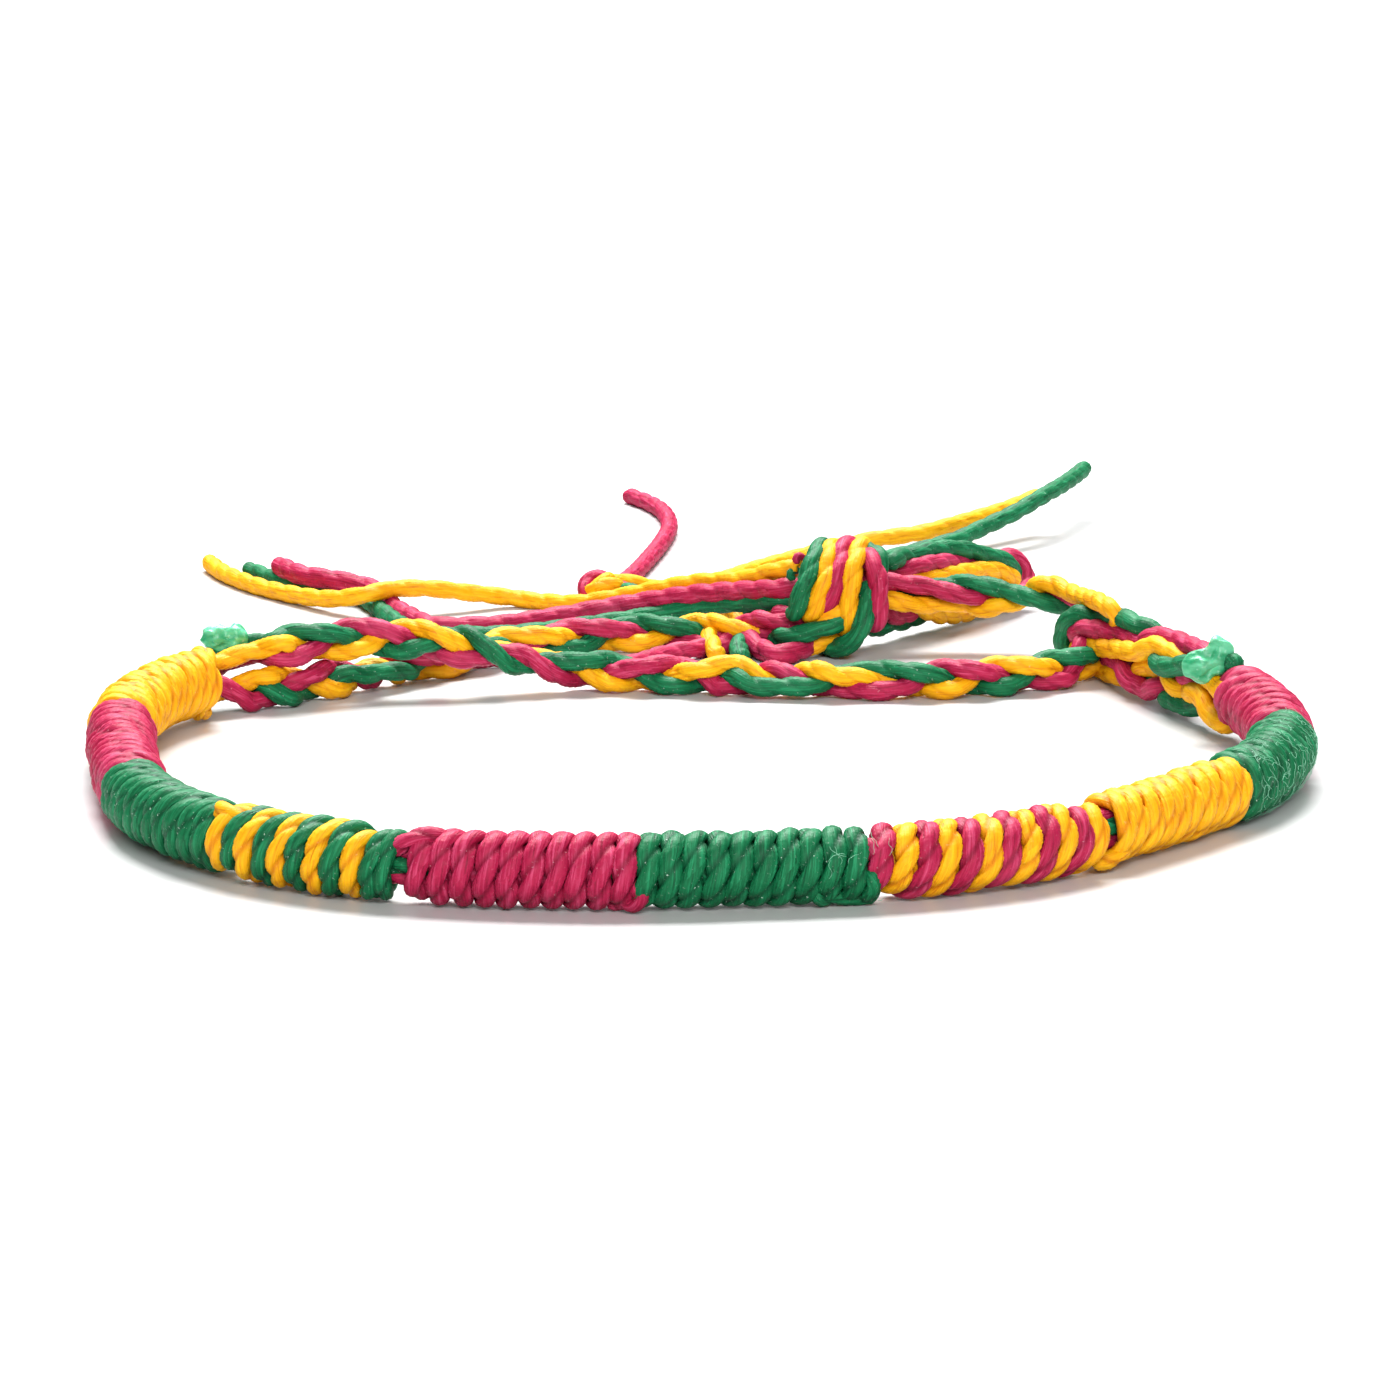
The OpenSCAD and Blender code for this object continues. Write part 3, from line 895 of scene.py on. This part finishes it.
# A second green cord that leaves the left end and joins the first one
TIE_A_SECOND_GREEN = [
    (-29.28, 11.3, 3.6), (-28.68, 11.6, 3.6), (-28.05, 11.9, 3.75), (-27.3, 12.0, 3.9),
    (-26.6, 11.8, 3.95), (-25.8, 11.3, 3.7),
]
TIE_B_START = {
    "yellow": [
        (-30.8, 6.4, 1.5), (-30.0, 8.2, 1.4), (-29.07, 8.8, 1.46), (-28.14, 9.4, 1.66),
        (-27.2, 9.9, 1.8),
    ],
    "pink": [
        (-30.7, 6.4, 2.2), (-30.0, 7.8, 2.2), (-29.14, 8.2, 1.8), (-28.21, 8.6, 1.2),
        (-27.4, 9.2, 0.7),
    ],
    "green": [
        (-30.9, 7.0, 1.5), (-30.3, 8.6, 1.4), (-29.15, 9.8, 1.27), (-28.09, 10.2, 1.06),
        (-27.2, 10.4, 0.9),
    ],
}
# Ends of the first tie's strands, from the loop back to the knot, and of the second tie's
TIE_A_RETURN = {
    "pink": [
        (25.34, 22.6, 2.76), (25.69, 24.3, 3.48), (25.01, 25.6, 3.89), (24.01, 26.9, 3.85),
        (22.6, 28.1, 4.22), (21.36, 28.9, 4.08), (20.12, 29.6, 3.49), (18.83, 29.6, 3.23),
        (17.51, 28.9, 3.55), (16.09, 28.9, 3.95), (14.48, 29.0, 4.32), (12.87, 29.0, 4.52),
        (11.9, 28.9, 4.67), (11.05, 28.6, 4.85),
    ],
    "green": [
        (25.62, 22.0, 2.1), (25.94, 24.0, 2.69), (25.3, 26.0, 3.17), (24.34, 27.0, 3.38),
        (23.22, 27.6, 3.33), (21.94, 27.6, 3.59), (20.56, 28.3, 3.92), (19.1, 28.7, 4.24),
        (17.7, 29.0, 4.45), (16.43, 29.4, 4.38), (15.35, 29.9, 4.1), (13.88, 30.0, 3.88),
        (12.26, 29.9, 3.83), (11.09, 29.6, 3.95),
    ],
    "yellow": [
        (25.5, 20.4, 2.2), (25.9, 19.6, 2.9), (26.1, 18.0, 3.8), (26.0, 16.5, 4.5),
        (25.6, 16.5, 5.05), (25.07, 18.2, 5.2), (24.52, 21.2, 4.9), (23.92, 24.2, 4.6),
        (23.3, 26.2, 4.6), (22.55, 27.4, 4.74), (21.72, 28.4, 4.43), (21.0, 29.2, 3.76),
        (20.11, 29.3, 3.22), (19.0, 29.0, 3.14), (17.74, 29.6, 3.1), (16.14, 29.9, 3.05),
        (14.71, 29.6, 2.97), (13.39, 28.8, 3.18), (12.22, 28.5, 3.5), (11.06, 28.4, 3.51),
    ],
}
TIE_B_END = {
    "green": [(4.2, 28.9, 0.9), (5.2, 29.0, 0.9)],
    "pink": [(4.37, 28.0, 2.15), (5.46, 27.6, 2.22), (6.41, 27.4, 2.49), (7.18, 27.6, 2.99)],
    "yellow": [(4.6, 28.6, 1.8), (5.8, 28.6, 2.0), (7.0, 28.6, 2.2)],
}
# The plaits: distances along the ties' middle lines, with the phase there in degrees
TIE_A_PLAIT = [
    (0, 30), (3.0, 100), (5.0, 145), (6.2, 180), (8.0, 225), (11.5, 330), (14.8, 450),
    (18.4, 570), (25.3, 720), (27, 780), (30.0, 870), (32.0, 930), (33.3, 970), (34.5, 1020),
    (37.4, 1100), (39.6, 1165), (41.0, 1225), (45.3, 1290), (48.6, 1410), (52.2, 1530),
    (56.4, 1650), (60, 1760),
]
TIE_B_PLAIT = [
    (0, 150), (2.5, 185), (3.8, 235), (5, 270), (5.8, 300), (7.9, 360), (9.8, 420), (10.9, 450),
    (12.8, 510), (16.6, 600), (17.8, 630), (21.8, 720), (25.6, 810), (30.7, 930), (35.2, 1050),
    (39.3, 1170), (42.6, 1290),
]
# How far the ties have rolled over, in the same way
TIE_A_ROLLS = [(0, 0), (17.0, 0), (24.4, 180), (33.5, 180), (40.0, 360), (70, 360)]
TIE_B_ROLLS = [(0, 180), (10.5, 180), (16, 360), (50, 360)]
make_braid(
    "first_tie",
    "tie_braid_a",
    eased_apart(
        braid_strands(
            TIE_A_ROUTE,
            ["yellow", "pink", "green"],
            TIE_A_PLAIT,
            TIE_A_ROLLS,
            before=TIE_A_START,
            after=TIE_A_RETURN,
            since=5.0,
            until=59.5,
        ),
        gap=0.85,
    )
    + [(smooth_line(TIE_A_SECOND_GREEN), "green", 0.95)],
)
make_braid(
    "second_tie",
    "tie_braid_b",
    eased_apart(
        braid_strands(
            TIE_B_ROUTE,
            ["yellow", "green", "pink"],
            TIE_B_PLAIT,
            TIE_B_ROLLS,
            before=TIE_B_START,
            after=TIE_B_END,
            since=4.4,
            until=42.4,
        ),
        gap=0.85,
    ),
)
# Strands of the bow: out from the knot above, and back to it below
BOW_STRANDS = {
    "pink": [
        (11.76, 30.6, 4.89), (12.43, 31.5, 4.93), (13.31, 32.5, 4.95), (14.66, 34.0, 4.82),
        (15.92, 36.0, 4.61), (17.0, 38.2, 4.16), (18.43, 40.5, 3.49), (19.87, 42.8, 3.36),
        (20.76, 44.4, 3.49), (21.41, 45.2, 3.01), (21.81, 45.0, 2.36), (21.65, 44.4, 1.72),
        (20.57, 43.0, 1.36), (18.56, 40.0, 1.22), (16.45, 37.2, 1.53), (14.73, 35.0, 1.66),
        (13.35, 33.0, 1.76), (12.2, 31.6, 1.82), (11.38, 30.4, 1.97),
    ],
    "green": [
        (12.0, 30.2, 5.42), (13.32, 33.0, 5.33), (14.72, 35.6, 5.41), (16.1, 37.4, 5.3),
        (17.49, 39.0, 4.96), (18.91, 41.0, 4.21), (20.22, 43.0, 3.32), (21.04, 44.5, 2.45),
        (20.9, 44.2, 1.75), (19.88, 42.6, 1.36), (18.46, 40.6, 1.18), (16.84, 38.4, 1.31),
        (15.09, 35.9, 1.43), (13.36, 33.2, 1.46), (12.07, 31.6, 1.49), (11.12, 30.2, 1.68),
    ],
    "yellow": [
        (11.49, 30.2, 3.98), (12.29, 31.0, 4.03), (13.3, 32.0, 4.05), (15.0, 34.0, 3.96),
        (16.73, 36.5, 3.85), (18.52, 39.5, 3.53), (20.12, 42.2, 2.99), (20.86, 43.6, 2.27),
        (20.58, 43.2, 1.59), (19.44, 41.6, 1.13), (18.01, 39.4, 1.06), (16.45, 37.0, 1.23),
        (14.92, 34.9, 1.54), (13.47, 33.0, 2.22), (12.25, 31.5, 2.89), (11.37, 30.4, 3.35),
    ],
}
make_braid(
    "bow",
    "bow_braid",
    eased_apart([(smooth_line(points), colour) for colour, points in BOW_STRANDS.items()]),
)
make_braid(
    "end_stretch",
    "end_braid",
    eased_apart(
        braid_strands(
            END_ROUTE,
            ["pink", "yellow", "green"],
            [(0, 0), (18, 518.4)],
            [(0, 0), (100, 0)],
            flat=True,
        ),
        gap=0.85,
    ),
)
# Strands of the loop: out from the band, round the far end of the eye and back below
LOOP_STRANDS = {
    "pink": [
        (31.9, 0.0, 3.9), (31.2, 2.4, 4.1), (30.55, 4.4, 4.25), (29.94, 6.4, 4.36),
        (29.32, 8.4, 4.38), (28.67, 10.0, 4.38), (28.14, 11.5, 4.2), (27.7, 12.6, 3.8),
        (27.05, 14.0, 3.6), (26.39, 15.8, 3.55), (25.52, 17.4, 3.5), (24.43, 19.2, 3.35),
        (23.8, 20.8, 2.8), (23.7, 22.6, 1.9), (24.2, 24.0, 1.0), (25.2, 22.4, 1.1),
        (25.8, 19.4, 1.6), (26.2, 16.5, 1.8), (26.6, 14.4, 1.5), (26.97, 13.0, 1.09),
        (27.64, 11.4, 1.0), (28.32, 10.0, 1.32), (29.0, 8.8, 1.81), (29.42, 7.0, 2.5),
        (29.89, 5.4, 2.6), (30.5, 3.6, 2.6), (32.0, 0.2, 2.4),
    ],
    "green": [
        (32.0, 0.4, 4.4), (31.0, 2.6, 4.0), (30.3, 3.8, 3.8), (29.8, 4.8, 3.72),
        (29.14, 6.0, 3.5), (28.37, 7.4, 3.15), (28.0, 9.2, 3.1), (28.05, 11.0, 3.5),
        (27.95, 12.2, 4.0), (27.6, 13.0, 4.25), (26.95, 14.6, 4.5), (26.2, 16.4, 4.6),
        (25.6, 18.6, 4.1), (25.0, 20.0, 3.7), (24.4, 20.4, 3.85), (23.8, 20.8, 3.95),
        (23.3, 21.4, 3.4), (23.25, 22.2, 2.3), (23.6, 22.9, 1.5), (24.4, 23.0, 1.4),
        (25.3, 21.6, 1.8), (26.2, 18.6, 1.8), (27.2, 15.4, 2.0), (27.9, 12.4, 1.7),
        (28.4, 10.0, 1.2), (28.76, 8.0, 1.07), (29.41, 6.4, 1.14), (29.97, 5.0, 1.5),
        (30.5, 3.4, 1.7), (31.9, 0.4, 1.7),
    ],
    "yellow": [
        (31.6, -0.5, 3.3), (31.0, 1.6, 3.4), (30.3, 4.0, 3.4), (29.8, 5.9, 3.5),
        (29.26, 7.4, 3.7), (28.76, 8.6, 3.94), (27.92, 10.4, 3.75), (26.91, 12.6, 3.19),
        (25.92, 15.4, 2.76), (25.27, 17.5, 2.46), (24.5, 19.6, 2.2), (23.9, 21.4, 1.8),
        (23.8, 22.8, 1.2), (24.5, 23.1, 0.8), (25.1, 21.8, 0.65), (25.39, 19.8, 0.7),
        (26.02, 16.5, 0.92), (26.88, 14.6, 1.34), (27.57, 13.2, 1.86), (28.2, 11.0, 2.3),
        (28.97, 8.6, 2.2), (29.6, 6.6, 2.1), (29.95, 4.9, 2.3), (30.22, 3.6, 2.4),
        (30.34, 2.6, 2.04), (30.6, 1.6, 1.5), (31.3, 0.8, 1.3), (32.0, 0.0, 1.5),
    ],
}
make_braid(
    "end_loop",
    "loop_braid",
    eased_apart([(smooth_line(points), colour) for colour, points in LOOP_STRANDS.items()]),
    size=1.2,
    lobed=0.45,
)

# Knots

# Turns of the main knot: distance to the right, degrees from the front over the top, distance
# from the knot's axis
KNOT_TURNS = {
    "yellow": [
        (7.0, -28, 2.1), (7.2, -14, 2.7), (7.45, 0, 3.05), (7.66, 11.5, 3.1), (8.05, 36, 3.1),
        (8.34, 73, 3.1), (8.6, 110, 3.1), (8.8, 150, 3.1), (8.95, 190, 3.1), (9.1, 230, 3.1),
        (9.3, 265, 2.9), (9.4, 300, 2.6), (9.45, 331, 2.9), (9.52, 360, 3.2), (9.65, 383, 3.2),
        (9.9, 410, 3.2), (10.25, 445, 3.2), (10.5, 468, 3.2), (10.7, 500, 3.0), (10.9, 540, 2.4),
    ],
    "pink": [
        (7.6, -22, 2.0), (7.95, -10, 2.5), (8.24, 2, 2.9), (8.49, 11.5, 3.0), (8.82, 36, 3.05),
        (9.04, 68, 3.1), (9.35, 92, 3.3), (9.75, 108, 3.25), (10.0, 140, 3.1), (10.2, 180, 3.1),
        (10.4, 215, 2.6), (10.7, 260, 1.6), (11.0, 300, 1.7), (11.25, 325, 2.4),
        (11.38, 346, 2.95), (11.43, 372, 3.1), (11.3, 397, 3.1), (10.85, 425, 3.0),
        (10.5, 440, 2.75), (10.2, 460, 2.4),
    ],
    "green": [
        (6.0, -22, 2.1), (6.15, -8, 2.8), (6.35, 6, 3.1), (6.71, 23, 3.1), (7.17, 50, 3.1),
        (7.75, 95, 3.1), (7.9, 115, 3.1), (7.9, 150, 3.1), (7.95, 190, 3.1), (8.0, 230, 3.1),
        (8.0, 262, 3.1), (8.0, 283, 3.12), (8.3, 299, 3.47), (8.75, 311, 3.82), (9.35, 320, 4.07),
        (9.95, 329, 3.97), (10.39, 341.5, 3.59), (10.6, 355.6, 3.16), (10.7, 371.7, 2.76),
        (10.9, 391.4, 2.23),
    ],
}
# Other cords of the main knot: colour, thickness and points
KNOT_CORDS = [
    ("green", 1.1, [
        (10.2, 31.4, 5.6), (10.5, 30.2, 6.4), (10.9, 29.2, 6.6), (11.4, 28.4, 6.45),
        (11.6, 27.9, 5.9), (11.6, 28.2, 5.2),
    ]),
    ("green", 1.15, [
        (4.7, 28.0, 1.1), (5.5, 26.5, 1.5), (6.71, 25.9, 1.8), (7.67, 25.9, 2.08),
        (8.63, 26.1, 2.37), (9.34, 26.5, 2.62), (10.13, 27.2, 2.95),
    ]),
    ("yellow", 1.1, [
        (7.0, 27.6, 2.5), (7.8, 26.5, 2.74), (8.69, 26.2, 3.07), (9.2, 26.5, 3.3),
        (9.5, 27.2, 3.6),
    ]),
    ("yellow", 1.05, [
        (5.0, 27.4, 0.6), (5.7, 26.6, 0.6), (6.47, 26.4, 0.65), (7.39, 26.5, 0.9),
        (8.09, 26.8, 1.24), (8.9, 27.4, 1.6),
    ]),
    ("pink", 1.25, [
        (2.6, 29.0, 1.2), (3.3, 27.6, 1.0), (3.92, 26.2, 0.75), (4.5, 25.0, 0.66),
        (5.2, 24.5, 0.66), (5.9, 24.9, 0.66), (6.6, 26.0, 0.8), (7.4, 27.2, 1.2),
    ]),
    ("pink", 1.15, [
        (-6.4, 16.3, 1.4), (-5.75, 17.3, 1.2), (-3.9, 20.6, 0.9), (-2.5, 24.0, 0.7),
        (-1.4, 25.6, 0.62), (-0.6, 26.2, 0.62), (0.1, 26.9, 0.62), (0.8, 27.5, 0.62),
        (1.4, 27.6, 0.66), (1.8, 28.2, 0.9), (1.8, 29.6, 1.1),
    ]),
    ("pink", 1.2, [
        (3.2, 28.9, 1.6), (4.2, 28.4, 1.5), (5.2, 27.9, 1.6), (6.4, 27.5, 1.9), (8.0, 27.6, 2.2),
    ]),
    ("pink", 1.2, [
        (4.6, 28.9, 2.5), (6.0, 28.2, 2.6), (7.4, 27.6, 3.0), (8.8, 27.4, 3.5), (10.0, 27.6, 3.8),
    ]),
    ("yellow", 1.1, [
        (0.6, 29.6, 1.1), (0.6, 28.4, 1.1), (0.68, 27.4, 1.0), (0.85, 26.4, 0.8),
        (1.0, 25.4, 0.6), (1.1, 24.6, 0.58),
    ]),
    ("green", 1.15, [
        (2.5, 29.6, 1.1), (2.5, 28.4, 0.95), (2.48, 27.0, 0.75), (2.5, 26.0, 0.66),
        (2.55, 24.6, 0.6), (2.6, 23.2, 0.6),
    ]),
    ("pink", 0.5, [(6.7, 29.0, 6.1), (6.3, 28.6, 6.35), (6.15, 28.4, 6.15), (6.35, 28.5, 5.9)]),
    ("yellow", 0.45, [(6.5, 28.9, 5.9), (6.1, 28.5, 5.85), (5.98, 28.3, 5.6), (6.2, 28.4, 5.4)]),
    ("green", 0.5, [(6.4, 28.8, 5.4), (5.95, 28.4, 5.4), (5.75, 28.2, 5.15), (6.1, 28.3, 4.9)]),
    ("yellow", 1.05, [(6.2, 30.3, 5.2), (8.5, 29.6, 5.0), (10.5, 29.0, 4.0), (11.5, 28.4, 3.5)]),
    ("pink", 1.05, [(6.2, 29.2, 4.3), (8.5, 29.0, 4.6), (10.5, 28.8, 4.8), (11.5, 28.6, 4.8)]),
    ("green", 1.05, [(6.2, 29.4, 3.2), (8.5, 29.5, 3.4), (10.5, 29.6, 3.8), (11.5, 29.6, 4.0)]),
    ("pink", 1.1, [(8.0, 30.6, 1.6), (9.5, 30.4, 1.8), (11.5, 30.4, 2.0)]),
    ("green", 1.1, [(4.75, 31.6, 1.6), (6.5, 31.0, 1.5), (9.0, 30.4, 1.5), (11.2, 30.2, 1.7)]),
]


def round_the_knot(turns):
    x, y, z = KNOT_CENTRE
    return [
        (
            across,
            y - reach * math.cos(math.radians(angle)),
            z + reach * math.sin(math.radians(angle)),
        )
        for across, angle, reach in turns
    ]


make_braid(
    "main_knot_cords",
    "main_knot",
    [(smooth_line(round_the_knot(t)), colour) for colour, t in KNOT_TURNS.items()]
    + [(smooth_line(points), colour, width) for colour, width, points in KNOT_CORDS],
    size=1.22,
)

# Cords of the small knot, as points from its middle
STOPPER_CENTRE = np.array([-6.5, 43.4, 1.25])
STOPPER_SCALE = 0.8
STOPPER_CORDS = [
    ("yellow", [
        (1.5, -0.1, 0.6), (0.9, -0.9, 0.9), (-0.2, -1.1, 0.9), (-1.1, -0.7, 0.3),
        (-1.2, 0.3, -0.3), (-0.5, 1.0, 0.2), (0.4, 0.7, 1.0), (0.3, -0.3, 1.3), (-0.5, -1.0, 0.7),
        (-1.3, -0.9, -0.2),
    ]),
    ("pink", [
        (1.3, 0.5, 0.2), (0.6, 1.0, 0.9), (-0.5, 0.8, 1.3), (-1.4, 0.1, 0.9), (-1.5, -0.7, 0.1),
        (-0.8, -1.1, -0.6), (0.4, -1.0, -0.8), (1.2, -0.3, -0.5), (1.0, 0.8, -0.3),
    ]),
    ("green", [
        (1.2, -0.4, -0.6), (0.5, -0.7, -0.2), (-0.4, 0.2, 0.1), (-0.9, 0.9, -0.5),
        (-0.1, 1.1, -0.8), (0.9, 0.6, -0.8),
    ]),
]
make_braid(
    "stopper_knot_cords",
    "stopper_knot",
    [
        (smooth_line(STOPPER_CENTRE + STOPPER_SCALE * np.array(points)), colour)
        for colour, points in STOPPER_CORDS
    ],
    size=0.9,
)

# Melted cord ends


def melted_cord():
    """Green cord melted to a pale, waxy bead."""
    finish = Finish(
        "melted green cord",
        Specular_IOR_Level=0.45,
        Coat_Roughness=0.25,
        Subsurface_Weight=0.2,
        Subsurface_Scale=0.0006,
    )
    smears = finish.noise(finish.place("Object", (500.0, 500.0, 1400.0)), detail=3.0)
    grains = finish.noise(finish.place("Object", (2600.0, 2600.0, 2600.0)), detail=2.0)
    tone = finish.mix(smears.step(0.35, 0.6), rgb(30, 150, 98), rgb(96, 198, 150))
    tone = finish.mix(grains.step(0.55, 0.75) * 0.5, tone, rgb(176, 232, 204))
    finish.set("Base Color", tone)
    finish.set("Roughness", (0.3 + grains * 0.3).clamped())
    finish.set("Coat Weight", (smears * 0.4).clamped())
    finish.bump(smears * 2.0 + grains, 0.0001, 0.7)
    return finish.material


MELTED = melted_cord()
# Where the bead's right lobe starts, and the middle and half the width of the waist between
# its lobes, as parts of its width
LOBE_FROM = 0.08
WAIST = 0.04
WAIST_REACH = 0.1
# How far the surface is crumpled
CRUMPLE = 0.16


def in_edit_mode(piece):
    bpy.ops.object.select_all(action="DESELECT")
    piece.select_set(True)
    bpy.context.view_layer.objects.active = piece
    bpy.ops.object.mode_set(mode="EDIT")
    bpy.ops.mesh.select_all(action="DESELECT")
    return bmesh.from_edit_mesh(piece.data)


def make_melted_end(name, node, place, size, lean, rise, seed):
    """A crumpled bead with two lobes, the right one raised."""
    bpy.ops.object.select_all(action="DESELECT")
    bpy.ops.mesh.primitive_ico_sphere_add(
        subdivisions=3, radius=0.5, location=tuple(np.array(place) * MM)
    )
    bead = bpy.context.object
    bead.name = name
    bead.scale = tuple(np.array(size) * MM)
    bead.rotation_euler = [math.radians(a) for a in lean]
    bpy.ops.object.transform_apply(location=False, rotation=False, scale=True)
    width = size[0] * MM
    made = in_edit_mode(bead)
    for v in made.verts:
        v.select = v.co.x > width * LOBE_FROM
    made.select_flush(True)
    bpy.ops.transform.translate(value=(0, 0, rise * MM), orient_type="LOCAL")
    bpy.ops.transform.resize(value=(1, 1, 1.25), orient_type="LOCAL")
    bpy.ops.mesh.select_all(action="DESELECT")
    for v in made.verts:
        v.select = abs(v.co.x - width * WAIST) < width * WAIST_REACH
    made.select_flush(True)
    bpy.ops.transform.resize(value=(1, 0.6, 0.75), orient_type="LOCAL")
    bpy.ops.mesh.select_all(action="SELECT")
    bpy.ops.transform.vertex_random(offset=CRUMPLE * MM, uniform=1.0, seed=seed)
    bpy.ops.mesh.normals_make_consistent(inside=False)
    bpy.ops.object.mode_set(mode="OBJECT")
    bpy.ops.object.transform_apply(location=True, rotation=True, scale=True)
    bpy.ops.object.modifier_add(type="SUBSURF")
    bead.modifiers[-1].levels = 2
    bpy.ops.object.modifier_apply(modifier=bead.modifiers[-1].name)
    bpy.ops.object.shade_smooth()
    bead.data.materials.append(MELTED)
    stand_for(bead, node)


make_melted_end(
    "melted_end_left",
    "clipped_end_left",
    place=(-29.2, 11.3, 4.15),
    size=(2.9, 1.7, 1.9),
    lean=(0, 8, 0),
    rise=0.1,
    seed=3,
)
make_melted_end(
    "melted_end_right",
    "clipped_end_right",
    place=(30.4, 1.3, 4.5),
    size=(3.3, 1.7, 2.2),
    lean=(0, -12, 0),
    rise=0.45,
    seed=5,
)

# Floor and light


def make_floor():
    finish = Finish("white sheet", Roughness=0.25, Specular_IOR_Level=0.35)
    finish.set("Base Color", (0.65, 0.65, 0.65, 1))
    bpy.ops.object.select_all(action="DESELECT")
    bpy.ops.mesh.primitive_plane_add(size=6, location=(0, 1.5, 0))
    floor = bpy.context.object
    floor.name = "white_floor"
    floor.data.materials.append(finish.material)


def add_lamp(name, place, size, power):
    """A rectangular lamp that shines at the origin."""
    bpy.ops.object.light_add(type="AREA", location=place)
    lamp = bpy.context.object
    lamp.name = name
    lamp.data.shape = "RECTANGLE"
    lamp.data.size, lamp.data.size_y = size
    lamp.data.energy = power
    x, y, z = place
    lamp.rotation_euler = (
        math.atan2(math.hypot(x, y), z),
        0,
        math.atan2(y, x) + math.pi / 2,
    )


make_floor()
add_lamp("overhead_softbox", (-0.05, 0.5, 0.8), size=(0.6, 0.4), power=27.5)
add_lamp("front_fill", (0.1, -1.0, 0.62), size=(0.7, 0.4), power=12)

scene.world = bpy.data.worlds.new("studio")
scene.world.use_nodes = True
background = scene.world.node_tree.nodes["Background"]
background.inputs["Color"].default_value = (1, 1, 1, 1)
background.inputs["Strength"].default_value = 0.26
scene.view_settings.view_transform = "Standard"
